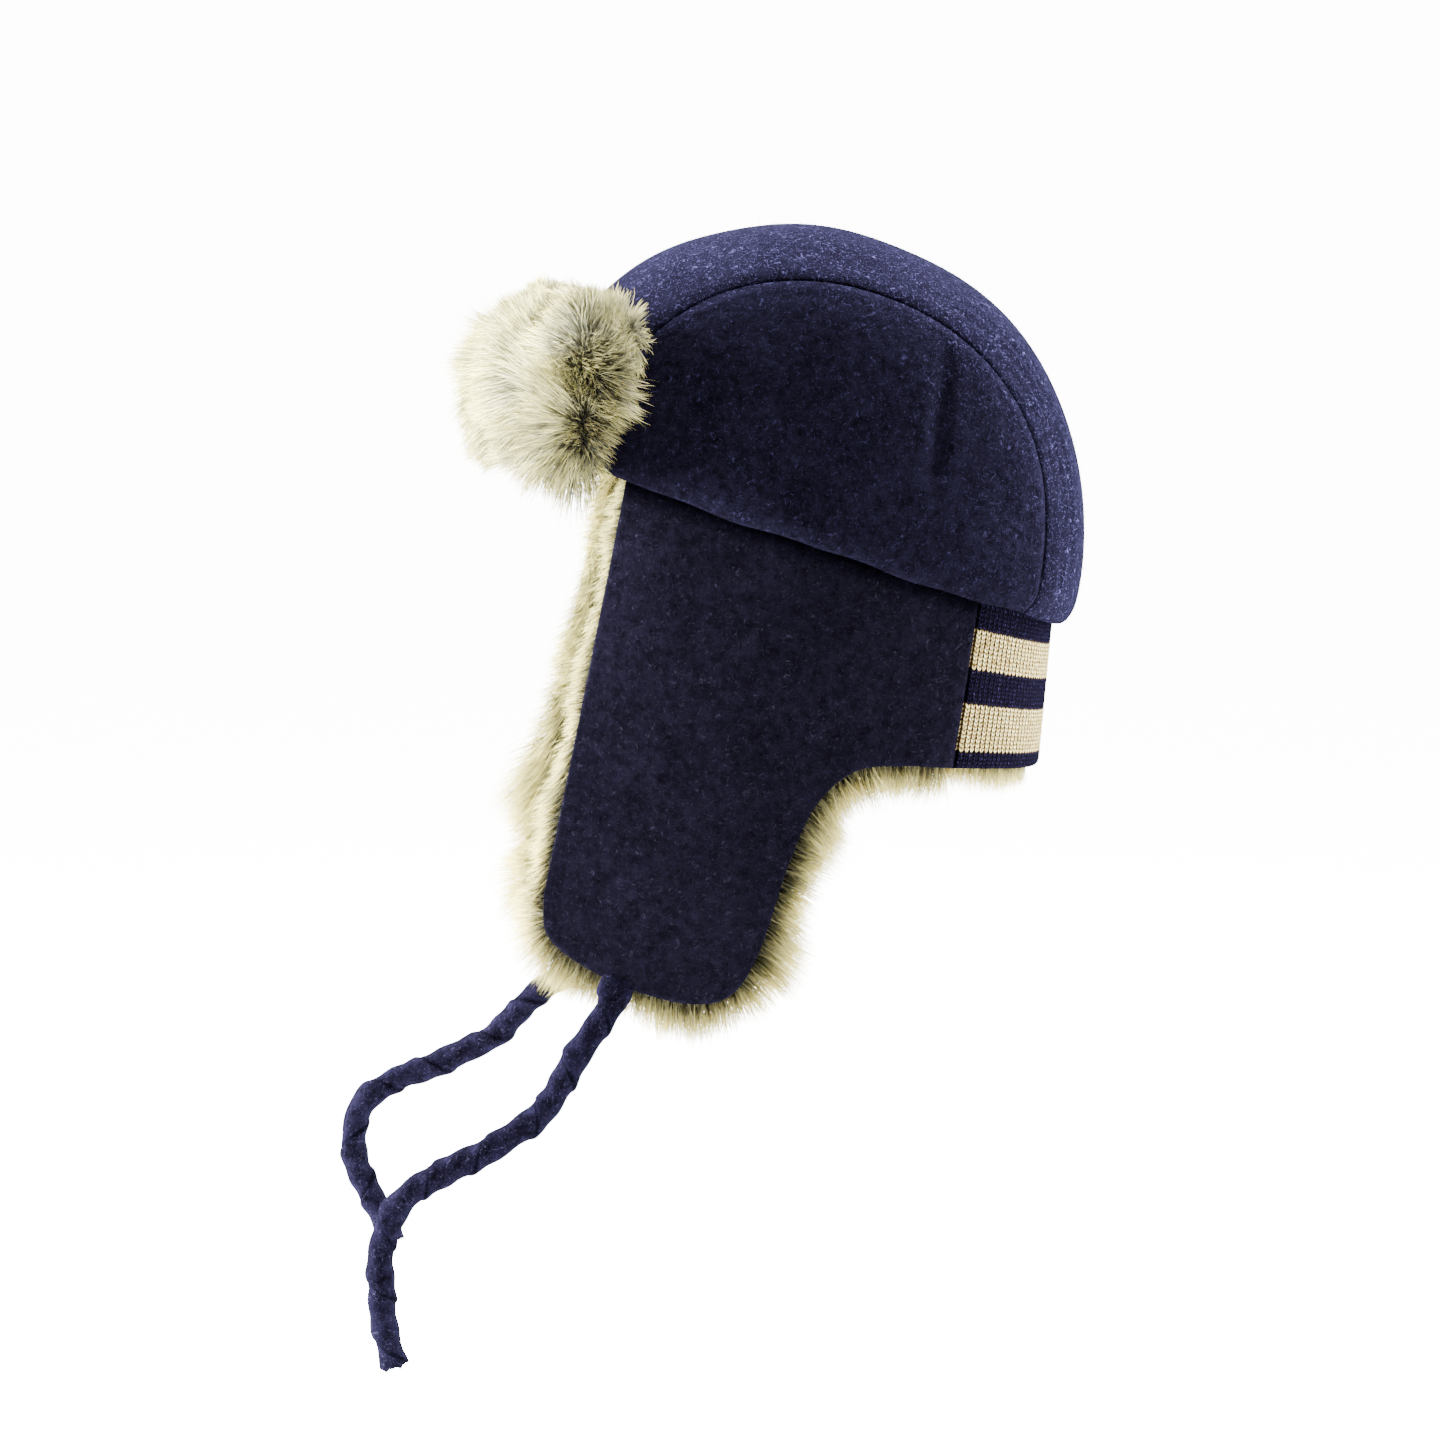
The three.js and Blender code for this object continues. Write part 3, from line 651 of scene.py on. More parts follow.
def knitMaterial(name):
    # stocking stitch on a UV in millimetres: each column is two legs that slope down to its middle
    material, tree, shader = newMaterial(name, 0.9)
    split = addNode(tree, "SeparateXYZ", {0: tree.nodes.new("ShaderNodeUVMap").outputs["UV"]})

    def f(operation, *values):
        return calculate(tree, operation, *values)

    wobble = f("MULTIPLY", f("SUBTRACT", noise(tree, 300, 2), 0.5), 0.9)
    across, down = f("ADD", split.outputs[0], wobble), f("ADD", split.outputs[1], wobble)
    column = f("FRACT", f("DIVIDE", across, knit["column"]))
    middle = f("MULTIPLY", f("ABSOLUTE", f("SUBTRACT", column, 0.5)), 2.0)
    rows = f("ADD", f("DIVIDE", down, knit["row"]), f("MULTIPLY", middle, knit["slant"]))
    besideLeg = f("POWER", f("ABSOLUTE", f("SUBTRACT", f("MULTIPLY", middle, 2.0), 1.0)), 2.2)
    leg = f("POWER", f("SUBTRACT", 1.0, besideLeg), 0.5)
    bead = f("POWER", f("SINE", f("MULTIPLY", f("FRACT", rows), math.pi)), 0.55)
    level = f("MULTIPLY", f("FLOOR", rows), knit["row"])
    inStripe = None
    for low, high in knit["stripes"]:
        band = f("MULTIPLY", f("GREATER_THAN", level, low), f("LESS_THAN", level, high))
        inStripe = band if inStripe is None else f("MAXIMUM", inStripe, band)
    flecks = noise(tree, 900, 3, 0.7)
    tan = ramp(tree, flecks, (0.36, linear(140, 112, 60)), (0.5, linear(246, 220, 144)),
               (0.62, linear(255, 250, 190)))
    navy = ramp(tree, flecks, (0.35, linear(6, 4, 13)), (0.6, linear(24, 19, 42)),
                (0.76, linear(78, 70, 112)))
    colour = blendColours(tree, inStripe, navy, tan)
    # painted shade in the knit's hollows: darker at the sides of each stitch column and between the
    # rows
    outside, inside, above = (0.22, 0.17, 0.1, 1), (0.04, 0.028, 0.02, 1), (0.08, 0.06, 0.04, 1)
    between = ramp(tree, middle, (0, outside), (0.24, 1), (0.5, 1), (0.78, inside))
    courses = ramp(tree, f("FRACT", rows), (0, above), (0.32, 1), (0.62, 1), (0.92, above))
    colour = multiplied(tree, colour, multiplied(tree, between, courses))
    dress(tree, shader, colour, 0.015, (190, 190, 240))
    fuzz = bump(tree, flecks, 0.3, 0.0003)
    tree.links.new(bump(tree, f("MULTIPLY", leg, bead), 0.9, 0.0008, fuzz), shader.inputs["Normal"])
    return material


crownWool = woolMaterial(
    "crown_wool", linear(6, 5, 10), linear(18, 16, 29), linear(92, 89, 138), 0.012, paintedTopLight=0.4)
flapWool = woolMaterial(
    "flap_wool", linear(6, 5, 10), linear(17, 15, 26), linear(84, 81, 106), 0.008, paintedHemShadow=True)
tieFelt = woolMaterial(
    "tie_felt", linear(7, 6, 12), linear(23, 20, 38), linear(120, 116, 162), 0.015, paintedLapShadow=True)
napFibres = hairMaterial("nap_fibres", linear(8, 7, 14), linear(44, 42, 64))
visorPile = furMaterial(
    "visor_fur", linear(112, 112, 95), linear(165, 164, 136), linear(214, 210, 156),
    linear(252, 244, 152), 0.25)
liningPile = furMaterial(
    "lining_fur", linear(38, 38, 27), linear(126, 121, 80), linear(244, 234, 156),
    linear(255, 250, 160), 0.5)
stripedKnit = knitMaterial("striped_knit")
print("stage: materials")


# ---- felt ties
tie = {
    "diameter": 11.5, "ringStep": 0.9, "sides": 40,
    "lapPitch": 25.0,  # length in which the rolled felt's edge goes once round
    "lapStep": 0.16, "oval": 0.05, "bulge": 0.06,
    "flatFor": 24.0, "flatThickness": 0.45, "flatWidth": 1.42,  # sewn end
    "exit": (-0.06995, 0.0658, -0.30005),
    # loose fibres over the cord and at its end: number, first and last ring, length, forward lean
    "fibres": ((2600, 12, -3, 1.6, 0.5), (220, -3, -1, 4.2, 3.0)), "fibreWidth": 0.11,
    "left": [
        (-67.2, -60.6, -293.5), (-68.3, -62.2, -297), (-70, -63.8, -301), (-72.2, -64.6, -306.8),
        (-76.5, -65, -314), (-81.5, -66, -321.5), (-87, -67, -329), (-91.5, -68, -337),
        (-96.5, -69, -345), (-103, -70, -352), (-111, -70.5, -358), (-120, -71, -363.5),
        (-130, -71, -368.5), (-140, -71, -373.5), (-150, -71, -379), (-158, -70.5, -387),
        (-163, -70, -397), (-165, -69.5, -408), (-165, -69, -420), (-164, -68.5, -432),
        (-162, -68, -444), (-160, -67.5, -452),
    ],
    "right": [
        (-67.2, 60.6, -293.5), (-68.3, 62.2, -297), (-70, 63.8, -301), (-72.2, 64.6, -306.8),
        (-77, 65.5, -312.5), (-84, 66.5, -317.5), (-92, 67.5, -322.5), (-99, 68.5, -328),
        (-105, 69.5, -335), (-112, 70, -342), (-121, 70.5, -347.5), (-132, 70.5, -352.5),
        (-144, 70.5, -357.5), (-156, 70.5, -362), (-166, 70, -368), (-172, 69.5, -377),
        (-174, 69, -388), (-172, 68.5, -399), (-167.5, 68, -409.5), (-162, 67.5, -420),
        (-158, 67, -431),
    ],
}


def alongRoute(route, step):
    dense = curveThrough(route, 4000)
    run = runOf(dense)
    walked = np.linspace(0, run[-1], int(run[-1] / step) + 1)
    return np.stack([np.interp(walked, run, dense[:, k]) for k in range(3)], -1), run[-1]


def makeTie(name, route, side, phase):
    # a rolled strip of felt: round section with a lap whose step winds down the cord
    centres, length = alongRoute(route, tie["ringStep"])
    count, sides = len(centres), tie["sides"]
    tangent = unit(np.gradient(centres, axis=0))
    level = unit(np.cross(tangent, np.tile([0.0, 1.0, 0.0], (count, 1))))
    outwards = np.cross(level, tangent)
    along = np.linspace(0, length, count)[:, None]
    angle = 2 * np.pi * np.arange(sides)[None] / sides
    wound = along / tie["lapPitch"] + 0.06 * np.sin(along / 9)
    lapTurn = angle - side * 2 * np.pi * wound + phase
    lap = np.mod(lapTurn / (2 * np.pi), 1)
    step = lap - ease(lap, 0.94, 1.0)
    # the lap's crease, where the ties' colour gets painted shade
    crease = np.exp(-(((lap - 0.96) / 0.035) ** 2))
    swell = tie["bulge"] * np.sin(along / 5.3 + phase + np.sin(along / 11))
    swell = swell * (0.6 + 0.4 * np.cos(angle + along / 14))
    size = 1.02 - tie["lapStep"] * step + tie["oval"] * np.cos(2 * lapTurn) + swell
    radius = 0.5 * tie["diameter"] * size
    flat = 1 - ease(along, 0, tie["flatFor"])
    wide = mix(1, tie["flatWidth"], flat)
    thin = mix(1, tie["flatThickness"], flat)
    points = centres[:, None] + (radius * wide * np.cos(angle))[..., None] * level[:, None]
    points = points + (radius * thin * np.sin(angle))[..., None] * outwards[:, None]
    ragged = 0.9 * np.sin(5 * angle[0] + phase) + 0.7 * np.sin(11 * angle[0] + 2 * phase)
    points[-1] += tangent[-1] * ragged[:, None] * 0.6
    index = np.arange(count * sides).reshape(count, sides)
    ahead = np.roll(index, -1, axis=1)
    faces = [np.stack([index[:-1], ahead[:-1], ahead[1:], index[1:]], -1).reshape(-1, 4)]
    points, rim, ring = [points.reshape(-1, 3)], points[-1], index[-1]
    for shrink, inset in ((0.72, 0.3), (0.4, -0.5), (0.12, 0.2)):  # torn end face
        inner = sides * (count + len(points) - 1) + np.arange(sides)
        points.append(centres[-1] + (rim - centres[-1]) * shrink - tangent[-1] * inset)
        faces.append(np.stack([ring, np.roll(ring, -1), np.roll(inner, -1), inner], -1))
        ring = inner
    middle = ring[-1] + 1
    faces.append(np.stack([ring, np.roll(ring, -1), np.full(sides, middle)], -1))
    faces.append(np.stack([ahead[0], index[0], np.full(sides, middle + 1)], -1))
    points = np.concatenate([*points, centres[-1:], centres[:1]])
    crease = np.concatenate([crease.ravel(), np.zeros(len(points) - crease.size)])
    piece = makePiece(name, points * mm, faces, tieFelt, {"crease": crease})
    return piece, centres, level, outwards, tangent


def makeFray(name, tieParts):
    # loose fibres over each tie and a brush of them at its torn end
    parts = []
    for _, centres, level, outwards, tangent in tieParts:
        for count, first, last, size, forward in tie["fibres"]:
            ring = rng.integers(first % len(centres), last % len(centres), count)
            angle = rng.uniform(0, 2 * np.pi, count)
            away = level[ring] * np.cos(angle)[:, None] + outwards[ring] * np.sin(angle)[:, None]
            share = 0.9 if forward < 1 else np.sqrt(rng.uniform(0.05, 0.9, count))
            roots = centres[ring] + away * np.reshape(0.5 * tie["diameter"] * share, (-1, 1))
            spread = rng.normal(0, 0.5, (count, 3))
            direction = unit(away * 0.7 + tangent[ring] * forward + spread)
            bend = rng.normal(0, 0.4, (count, 3))
            lengths = size * mm * rng.uniform(0.5, 1.2, count)
            widths = np.full(count, tie["fibreWidth"] * mm)
            parts.append(ribbons(
                roots * mm, direction, bend, lengths, widths, rng.uniform(0, 1, count), away))
    return makeHairs(name, parts, napFibres)


tieLeft = makeTie("felt_tie_left", tie["left"], 1, 0.4)
tieRight = makeTie("felt_tie_right", tie["right"], -1, 2.1)
for made, node in ((tieLeft, "tie_left"), (tieRight, "tie_right")):
    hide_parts(node)
fray = makeFray("tie_fibres", (tieLeft, tieRight))
print("stage: ties")


# ---- felt panels
felt = {"thickness": 2.5, "layerGap": 0.8, "roll": 2.2, "seamRoll": 1.3, "hemRoll": 3.2}
bandOuter = -(felt["thickness"] + felt["layerGap"])
tape = {"width": 8.0, "outer": -1.1, "inner": -2.0, "roll": 0.4}


def seamTape(u, v):
    # the turned-in felt behind the seam, half of its width to each side
    turn = np.pi * mix(0.004, 0.996, u)
    return crownPoint(turn, seamAngle(turn) + (v - 0.5) * tape["width"] / hat["halfWidth"])


def crownRoll(foot):
    # tight beside the seams, wide along the hem
    return mix(felt["hemRoll"], felt["seamRoll"], ease(foot[..., 2], 2, 9))


def flapRelief(u, v, foot):
    # slow waves of the hanging felt, flat where it is sewn under the crown
    x, z = foot[..., 0], foot[..., 2]
    wave = np.sin(z / 27 + x / 40) + 0.6 * np.sin(x / 13 - z / 60)
    return 0.45 * wave * (1 - ease(v, 0.8, 0.95))


def makeSheet(name, flip, material, *form):
    points, faces, _ = shell(*form)
    if flip:
        points, faces = mirrored(points, faces)
    return makePiece(name, place(points), faces, material)


def makeFelt(name, node, surface, us, vs, outer, material, flip=False, roll=felt["roll"],
             relief=None):
    inner = outer - felt["thickness"]
    piece = makeSheet(name, flip, material, surface, us, vs, outer, inner, roll, relief)
    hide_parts(node)


for side, flip in (("left", False), ("right", True)):
    makeFelt(f"side_panel_{side}", f"crown_side_{side}", sidePanel, edged(100), edged(52), 0,
             crownWool, flip, crownRoll)
    makeFelt(f"ear_flap_{side}", f"flap_{side}", flapSurface, edged(92), edged(56), bandOuter,
             flapWool, flip, relief=flapRelief)
makeFelt("top_strip", "crown_top_strip", topStrip, edged(150, 0.01), edged(56), 0,
         crownWool, roll=crownRoll)
for side, flip in (("left", False), ("right", True)):
    allowance = makeSheet(f"seam_allowance_{side}", flip, crownWool, seamTape, edged(110, 0.01),
                          edged(5, 0.1), tape["outer"], tape["inner"], tape["roll"])
makeFelt("visor_back", "visor_felt", visorSurface, edged(50), edged(22), felt["thickness"],
         flapWool)

points, faces, spots = shell(
    knitSurface, edged(84), edged(40), bandOuter, bandOuter - knit["thickness"], knit["roll"])
around = knitPlace(spots[:, 0], spots[:, 1])[:, 0]
down = (knit["depthSides"] + hat["bandTop"]) * (1 - spots[:, 1]) - hat["bandTop"]
knitUV = np.stack([around, down], -1)
knitBand = makePiece("knit_band", place(points), faces, stripedKnit, uv=knitUV)
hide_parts("nape_knit_band")
print("stage: felt and knit")


nap = {"sunk": 0.15, "rise": 0.55, "bend": 0.35, "width": 0.1, "lengths": (4.0, 0.42)}


def makeNap(name, patches):
    # short loose fibres that stand off the felt's face
    parts = []
    for surface, outer, count, flip in patches:
        u, v = rng.uniform(0.004, 0.996, (2, count))
        normal = normalsOf(surface, u, v)
        roots = surface(u, v) + normal * (outer - nap["sunk"])
        if flip:
            roots, normal = roots * [1, -1, 1], normal * [1, -1, 1]
        direction = unit(normal * nap["rise"] + rng.normal(0, 0.6, (count, 3)))
        bend = rng.normal(0, nap["bend"], (count, 3)) - normal * 0.15
        placed = place(roots)
        turned = unit(place(roots + normal) - placed)
        leant = unit(place(roots + direction) - placed)
        lengths = mm * rng.gamma(*nap["lengths"], count)
        parts.append(ribbons(placed, leant, bend, lengths, np.full(count, nap["width"] * mm),
                             rng.uniform(0, 1, count) ** 1.5, turned))
    piece = makeHairs(name, parts, napFibres)


makeNap("crown_nap", [
    (sidePanel, 0, 3200, False), (sidePanel, 0, 3200, True), (topStrip, 0, 6400, False)])
makeNap("flap_nap", [(flapSurface, bandOuter, 4200, False), (flapSurface, bandOuter, 4200, True)])
print("stage: nap")


# ---- pile of the linings
pile = {
    "thickness": 7.0, "backing": 2.5, "groundRoll": 1.5, "foot": 5.0, "faceLength": 9.5,
    "frontReach": (14.0, 7.0), "lowerReach": 15.5, "backReach": 20.0, "napeReach": 8.0,
    "tuftAt": 0.24, "tuftSpread": 0.17, "farTuft": 13.0,
}
# each kind of hair: number, width, tones, locks, share that tips are drawn together, sag,
# and where on its colours the hair starts; a start below 0 carries the dark root colour out from
# the felt's edge, partly the pile's own root colour and partly painted shade beside the felt
hairKeys = ("count", "width", "tones", "locks", "pull", "droop", "start")
kinds = {name: dict(zip(hairKeys, row)) for name, *row in (
    ("face", 11000, 0.42, (0.3, 0.85), 420, 0.4, 0.12, 0.42),
    ("front", 9200, 0.32, (0.3, 0.85), 170, 0.28, 0.08, -0.5),
    ("lower", 13800, 0.34, (0.3, 0.9), 260, 0.32, 0.14, -0.15),
    ("napeFace", 6500, 0.42, (0.3, 0.85), 220, 0.4, 0.12, 0.42),
    ("napeEdge", 7000, 0.27, (0.3, 0.85), 160, 0.25, 0.1, 0.0),
)}


def hairs(strands, kind, widths=None, tones=None):
    # placed hairs of one kind, drawn into locks, from roots, directions, normals and lengths
    roots, directions, normals, lengths = strands
    count = len(roots)
    tones = rng.uniform(*kind["tones"], count) if tones is None else tones
    widths = np.full(count, kind["width"]) if widths is None else widths
    placed = place(roots)
    turned = unit(place(roots + directions) - placed)
    hint = unit(place(roots + normals) - placed)
    x, y, z = roots.T
    curl = [np.sin(x / 11 + z / 8), np.sin(z / 9 + y / 12 + 2), np.cos(x / 9 - z / 13)]
    sag = np.tile([0.0, 0.0, -1.0], (count, 1)) * kind["droop"]
    bends = sag + 0.13 * np.stack(curl, -1) + rng.normal(0, 0.08, (count, 3))
    bends, lock = clumped(placed, turned, bends, lengths * mm, kind["locks"], kind["pull"])
    tones = np.clip(tones + rng.uniform(-0.32, 0.32, kind["locks"])[lock], 0, 1)
    return ribbons(placed, turned, bends, lengths * mm, widths * mm, tones, hint, kind["start"])


def edgeHairs(spots, outwards, reach, inner):
    # hairs that leave the lining square to the felt's edge, those deeper in turning inwards
    count = len(spots)
    depth = rng.uniform(0, 1, count)
    foot = spots - outwards * pile["foot"] * rng.uniform(0.4, 1.3, (count, 1))
    normal = -crossed(bandPoint, foot[:, 0], foot[:, 1], 0.5)
    start = bandPoint(foot[:, 0], foot[:, 1])
    ahead = unit(bandPoint(foot[:, 0] + outwards[:, 0], foot[:, 1] + outwards[:, 1]) - start)
    roots = start + normal * (inner - 1.2 - depth * (pile["thickness"] - 1.5))[:, None]
    lean = rng.normal(0, 0.16, (count, 3))
    direction = unit(ahead - normal * (0.02 + 0.6 * depth ** 1.5)[:, None] + lean)
    length = (pile["foot"] + reach) * rng.uniform(0.82, 1.08, count) * (1 - 0.15 * depth)
    hint = unit(ahead * 0.6 + normal * (0.5 - depth)[:, None])
    return roots, direction, hint, length


def faceHairs(whole, sides, count, inner):
    # hairs all over the lining's face, from side to side of the sheet
    def surface(u, v):
        return whole(mix(*sides, u), mix(0.02, 1.0, v))

    u, v = rng.uniform(0.0, 1.0, (2, count))
    normal = normalsOf(surface, u, v)
    down = unit(surface(u, v - 0.01) - surface(u, v + 0.01))
    roots = surface(u, v) + normal * (inner - pile["backing"])
    swirl = np.sin(roots[:, 0] / 17 + 1.3) * np.cos(roots[:, 2] / 21)
    sideways = np.cross(normal, down) * 0.35 * swirl[:, None]
    lean = rng.normal(0, 0.16, (count, 3))
    direction = unit(-normal * 0.75 + down * 0.55 + sideways + lean)
    return roots, direction, -normal, pile["faceLength"] * rng.uniform(0.75, 1.15, count)


def groundPart(points, faces, tone):
    # the sheet that hairs grow from, as one of the parts to be joined, with area-weighted normals
    points = place(points)
    normals = np.zeros_like(points)
    for f in faces:
        a, b, c = points[f[:, 0]], points[f[:, 1]], points[f[:, 2]]
        for k in range(f.shape[1]):
            np.add.at(normals, f[:, k], np.cross(b - a, c - a))
    return {
        "points": points, "faces": faces, "normals": unit(normals),
        "along": np.full(len(points), 0.12), "tone": np.full(len(points), tone),
    }


def backing(surface, us, vs, inner):
    # the lining's sheet, drawn in a little from the felt's edge
    points, faces, _ = shell(lambda u, v: surface(mix(0.01, 0.99, u), mix(0.015, 1.0, v)),
                             us, vs, inner, inner - pile["backing"] - 0.8, pile["groundRoll"])
    return groundPart(points, faces, 0.4)


def makeLining(name, node, parts, flip=False, material=liningPile):
    piece = makeHairs(name, parts, material, flip)
    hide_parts(node)


def flapLiningParts(tuft=0.0):
    inner = bandOuter - felt["thickness"] - felt["layerGap"]
    face, front, lower = kinds["face"], kinds["front"], kinds["lower"]
    parts = [backing(flapSurface, edged(44), edged(28), inner),
             hairs(faceHairs(flapSurface, (0.015, 1.012), face["count"], inner), face)]
    t = rng.uniform(0.0, 0.97, front["count"])
    spots = flapPlace(np.zeros_like(t), t)
    outwards = unit(np.stack([np.full_like(t, -1.0), rng.normal(0.75, 0.22, len(t))], -1))
    longer = tuft * np.exp(-(((t - pile["tuftAt"]) / pile["tuftSpread"]) ** 2))
    reach = mix(*pile["frontReach"], t) + longer
    parts.append(hairs(edgeHairs(spots, outwards, reach, inner), front))
    t = rng.uniform(0.0, 0.995, lower["count"])
    tangent = unit(edgePlace(t + 0.01) - edgePlace(t - 0.01))
    outwards = np.stack([-tangent[:, 1], tangent[:, 0]], -1)
    outwards = unit(outwards + rng.normal(0, 0.16, (len(t), 2)))
    atBack = ease(t, 0.4, 0.5) * (1 - ease(t, 0.7, 0.8))
    reach = mix(pile["lowerReach"], pile["backReach"], atBack)
    parts.append(hairs(edgeHairs(edgePlace(t), outwards, reach, inner), lower))
    return parts


def napeLiningParts():
    inner = bandOuter - knit["thickness"] - felt["layerGap"]
    face, edge = kinds["napeFace"], kinds["napeEdge"]
    parts = [backing(knitSurface, edged(40), edged(18), inner),
             hairs(faceHairs(knitSurface, (-0.012, 1.012), face["count"], inner), face)]
    u = rng.uniform(0.0, 1.0, edge["count"])
    outwards = unit(np.stack([rng.normal(0, 0.2, len(u)), np.ones_like(u)], -1))
    spots = knitPlace(u, np.zeros_like(u))
    parts.append(hairs(edgeHairs(spots, outwards, pile["napeReach"], inner), edge))
    return parts


makeLining("pile_left", "fur_lining_left", flapLiningParts())
makeLining("pile_right", "fur_lining_right", flapLiningParts(pile["farTuft"]), flip=True)
makeLining("pile_nape", "fur_lining_nape", napeLiningParts())
print("stage: linings")


# ---- deep fur of the visor
fur = {
    "foot": 3.3, "padEdge": 2.5, "padMiddle": 8.5, "rootTop": 0.97,
    "count": 35000, "length": 21.0, "width": 0.36,
    "locks": 420, "pull": 0.32, "droop": 0.12, "start": 0.0,
    "whorl": (0.7, -0.4),  # where the hair parts, as shares of half the width and height
    "topShare": 0.1, "endShare": 0.18,  # hairs moved to the upper border and to the ends
    "borderAt": 0.93, "borderLength": 0.55,
    "darkShare": 0.32, "darkTones": (0.0, 0.22), "paleTones": (0.42, 0.9),
}


def visorPad(u, v):
    # a dome over the visor's face
    dome = np.sqrt(np.clip((1 - (2 * u - 1) ** 4) * (1 - (2 * v - 1) ** 4), 0, 1))
    lift = fur["foot"] + mix(fur["padEdge"], fur["padMiddle"], dome)
    return visorSurface(u, v) + normalsOf(visorSurface, u, v) * lift[..., None]


def chance(share):
    return rng.uniform(0, 1, fur["count"]) < share


def visorParts():
    us, vs = edged(44), edged(22)
    u, v = np.meshgrid(us, vs, indexing="ij")
    points, faces, _ = shell(visorSurface, us, vs, fur["foot"] + 1.5, fur["foot"], 1.0)
    points[:u.size] = visorPad(u, v).reshape(-1, 3)
    ground = groundPart(points, faces, 0.3)
    count = fur["count"]
    u = rng.uniform(0, 1, count)
    v = rng.uniform(0.0, fur["rootTop"], count)
    v = np.where(chance(fur["topShare"]), rng.uniform(0.85, 1.0, count), v)
    moved = chance(fur["endShare"])
    ends = np.where(chance(0.5), rng.uniform(0, 0.1, count), rng.uniform(0.9, 1, count))
    u = np.where(moved, ends, u)
    # combed away from two whorls, straight out at the ends, shorter and steeper at the top
    p, q = 2 * u - 1, 2 * v / fur["rootTop"] - 1
    fromMiddle = np.abs(p)
    normal = normalsOf(visorSurface, u, v)
    around = unit(visorSurface(u + 0.01, v) - visorSurface(u - 0.01, v))
    up = np.array([0.0, 0.0, 1.0])
    halfHeight = (visor["high"] - visor["low"]) / 2
    whorlP, whorlQ = fur["whorl"]
    fromWhorl = [(fromMiddle - whorlP) * visor["halfWidth"], (q - whorlQ) * halfHeight]
    fromWhorl = np.stack(fromWhorl, -1)
    combed = fromWhorl / (np.linalg.norm(fromWhorl, axis=-1, keepdims=True) + 20)
    end, beside = ease(fromMiddle, 0.8, 1.0), ease(fromMiddle, 0.05, 0.6)
    sideways = np.sign(p) * (combed[:, 0] * beside + end * (0.5 + 0.5 * ease(-q, -0.2, 0.6)))
    upwards = mix(0.45 * q - 0.08, 0.8 * combed[:, 1] - 0.05, beside)
    high, rim = ease(v, 0.5, 0.9) * (1 - ease(fromMiddle, 0.5, 0.85)), ease(v, 0.9, 1.0)
    swirl = np.stack([np.sin(u * 23 + v * 7), np.cos(u * 31 - v * 9), np.sin(u * 17 + v * 13)], -1)
    direction = unit(
        normal * mix(0.62 + 0.25 * high, -0.2, rim)[:, None]
        + around * (0.85 * sideways)[:, None]
        + up * (upwards * (1 - 0.8 * high) + 0.6 * rim)[:, None]
        + 0.28 * swirl
        + rng.normal(0, 0.1, (count, 3)))
    # half of the hairs at the border leave the pad's wall sideways and cover it
    beyond = np.sign(p) * (fromMiddle > fur["borderAt"])
    away = around * beyond[:, None] + up * ((v > 0.94) * 1.0 - (v < 0.05))[:, None]
    low = (np.abs(away).sum(-1) > 0) & chance(0.5)
    sunk = 0.5 + np.where(low, rng.uniform(0, fur["padEdge"] + 2.0, count), 0)
    roots = visorPad(u, v) - normal * sunk[:, None]
    aside = unit(away - normal * 0.12 + rng.normal(0, 0.16, (count, 3)))
    direction = np.where(low[:, None], aside, direction)
    tufts = 1 + 0.13 * np.sin(u * 41 + v * 6) + 0.1 * np.sin(u * 67 - v * 17 + 1)
    length = fur["length"] * tufts * rng.uniform(0.7, 1.1, count)
    length = length * (1 - 0.66 * high) * (1 - 0.25 * rim)
    length = length * (1 - 0.35 * ease(-q, 0.1, 0.9) * (1 - ease(fromMiddle, 0.35, 0.75)))
    length = np.where(low, length * fur["borderLength"], length)
    dark = chance(fur["darkShare"])
    darkTones, paleTones = (rng.uniform(*fur[key], count) for key in ("darkTones", "paleTones"))
    widths = fur["width"] * rng.uniform(0.8, 1.5, count)
    strands = roots, direction, unit(direction + normal * 0.6), length
    return [ground, hairs(strands, fur, widths, np.where(dark, darkTones, paleTones))]


makeLining("visor_pile", "visor_fur", visorParts(), material=visorPile)
print("stage: visor fur")


# ---- floor and light
studio = {
    "backdrop": 14.0, "ambient": 0.28, "floorGlow": 14.0,
    "floorRadius": 14.0, "floorSides": 96, "floorHeight": -0.62,
}


def toCamera(tree):
    # 1 for what the camera sees itself
    return tree.nodes.new("ShaderNodeLightPath").outputs["Is Camera Ray"]


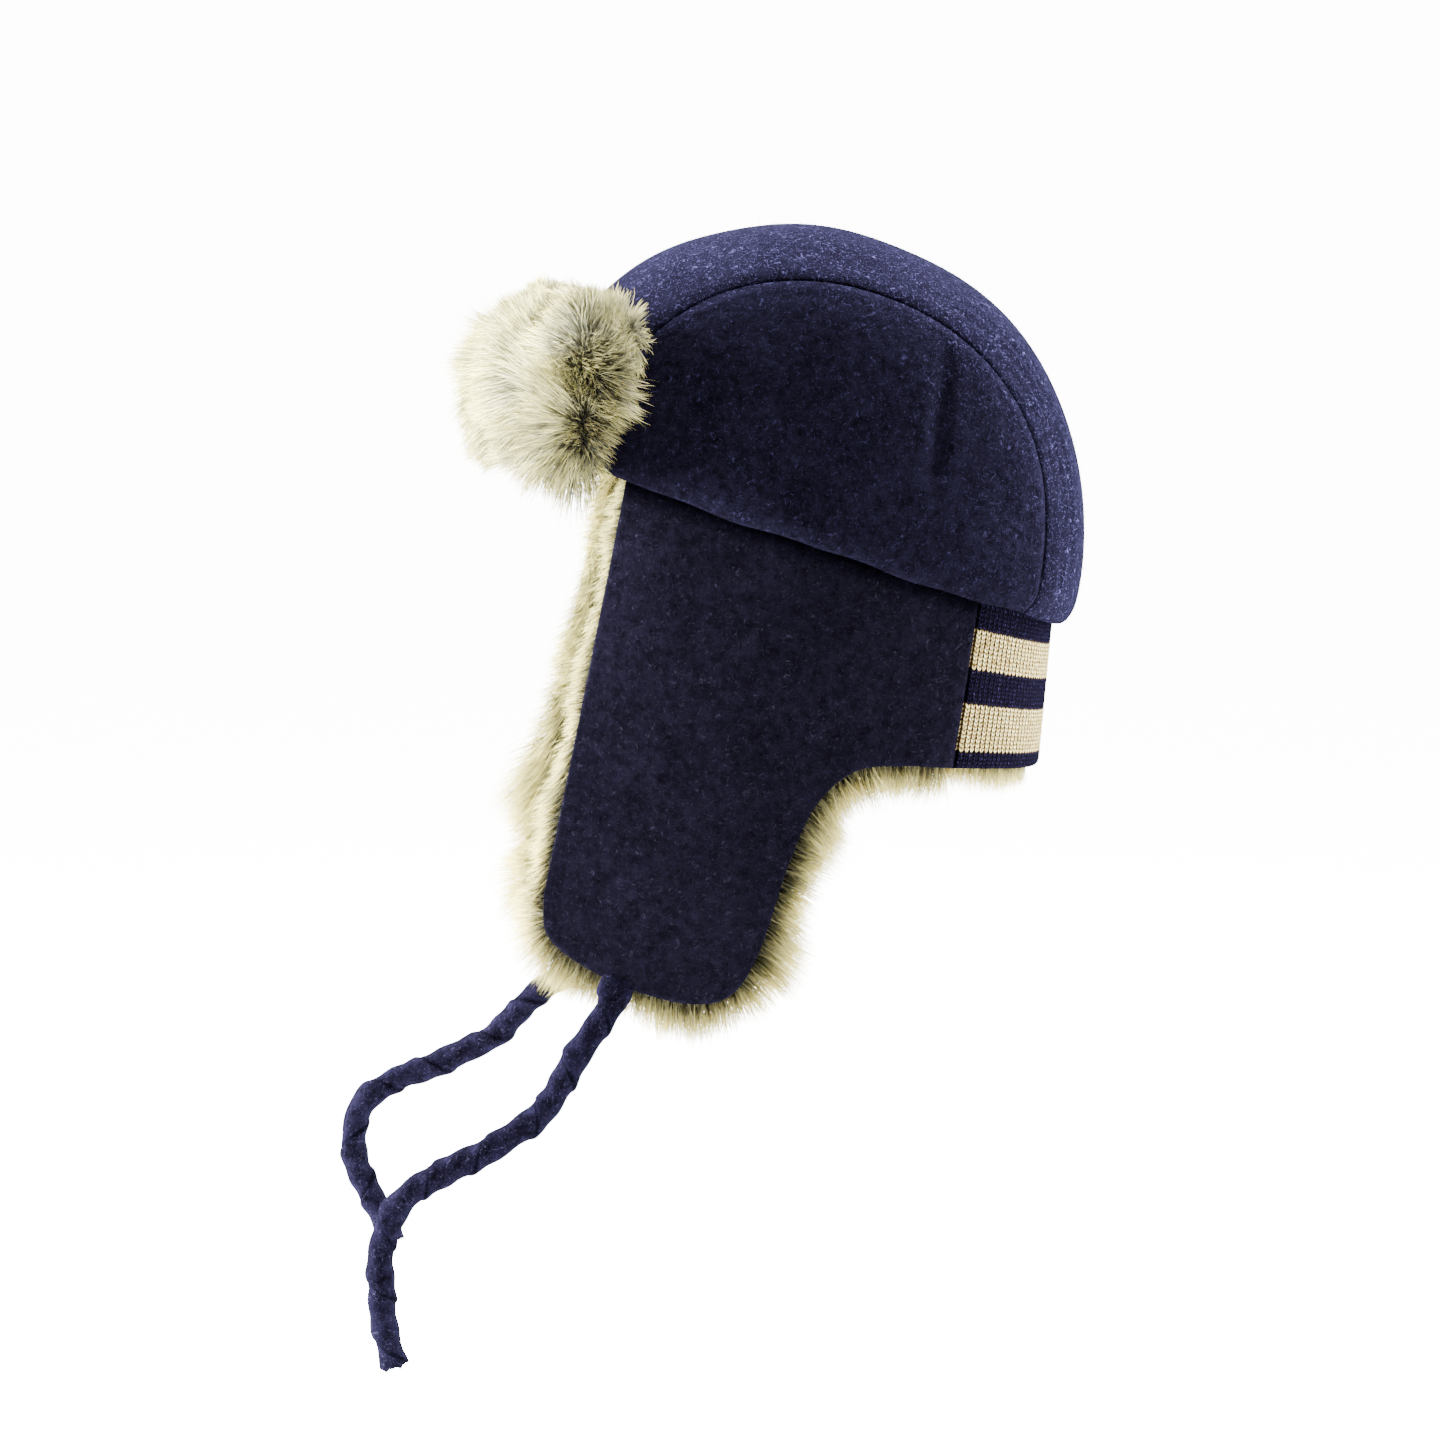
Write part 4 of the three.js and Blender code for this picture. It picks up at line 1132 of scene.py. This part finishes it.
def makeStage():
    mesh = bpy.data.meshes.new("floor")
    sides, radius = studio["floorSides"], studio["floorRadius"]
    turn = np.linspace(0, 2 * np.pi, sides + 1)[:-1]
    height = np.full(sides, studio["floorHeight"])
    ring = np.stack([radius * np.cos(turn), radius * np.sin(turn), height], -1)
    mesh.from_pydata(ring.tolist(), [], [list(range(sides))])
    floor = bpy.data.objects.new("floor", mesh)
    bpy.context.scene.collection.objects.link(floor)
    material, tree, shader = newMaterial("floor_white", 0.9)
    pale = ramp(tree, noise(tree, 3, 2), (0.3, 0.86), (0.7, 0.9))
    tree.links.new(pale, shader.inputs["Base Color"])
    shader.inputs["Emission Color"].default_value = grey(1)
    glow = calculate(tree, "MULTIPLY", toCamera(tree), studio["floorGlow"])
    tree.links.new(glow, shader.inputs["Emission Strength"])
    mesh.materials.append(material)
    world = bpy.data.worlds.new("studio")
    bpy.context.scene.world = world
    world.use_nodes = True
    tree = world.node_tree
    background = tree.nodes["Background"]
    background.inputs["Color"].default_value = grey(1)
    bright = calculate(tree, "MULTIPLY", toCamera(tree), studio["backdrop"] - studio["ambient"])
    feed(tree, background.inputs["Strength"], calculate(tree, "ADD", bright, studio["ambient"]))


lamps = [
    # name, place, aim, width and height, power in watts
    ("overhead", (0.2, 0.4, 1.2), (-0.03, 0.0, -0.05), (1.2, 1.2), 165),
    ("behind", (1.5, 0.36, 0.5), (0.05, 0.0, -0.1), (1.0, 1.4), 280),
    ("face_side", (-1.55, 0.3, 0.1), (-0.05, 0.0, -0.15), (1.0, 1.4), 540),
    ("below", (-0.3, 0.9, -0.58), (-0.05, 0.0, -0.25), (1.6, 0.8), 30),
    ("front_fill", (-0.7, -1.9, 0.5), (-0.05, 0.0, -0.15), (1.2, 1.2), 5),
]


def makeLights():
    for name, spot, aim, (width, height), power in lamps:
        data = bpy.data.lights.new(name, "AREA")
        data.shape = "RECTANGLE"
        data.size, data.size_y = width, height
        data.energy = power
        lamp = bpy.data.objects.new(name, data)
        bpy.context.scene.collection.objects.link(lamp)
        lamp.location = spot
        lamp.rotation_euler = (Vector(aim) - Vector(spot)).to_track_quat("-Z", "Y").to_euler()


makeStage()
makeLights()
print("stage: floor and light")
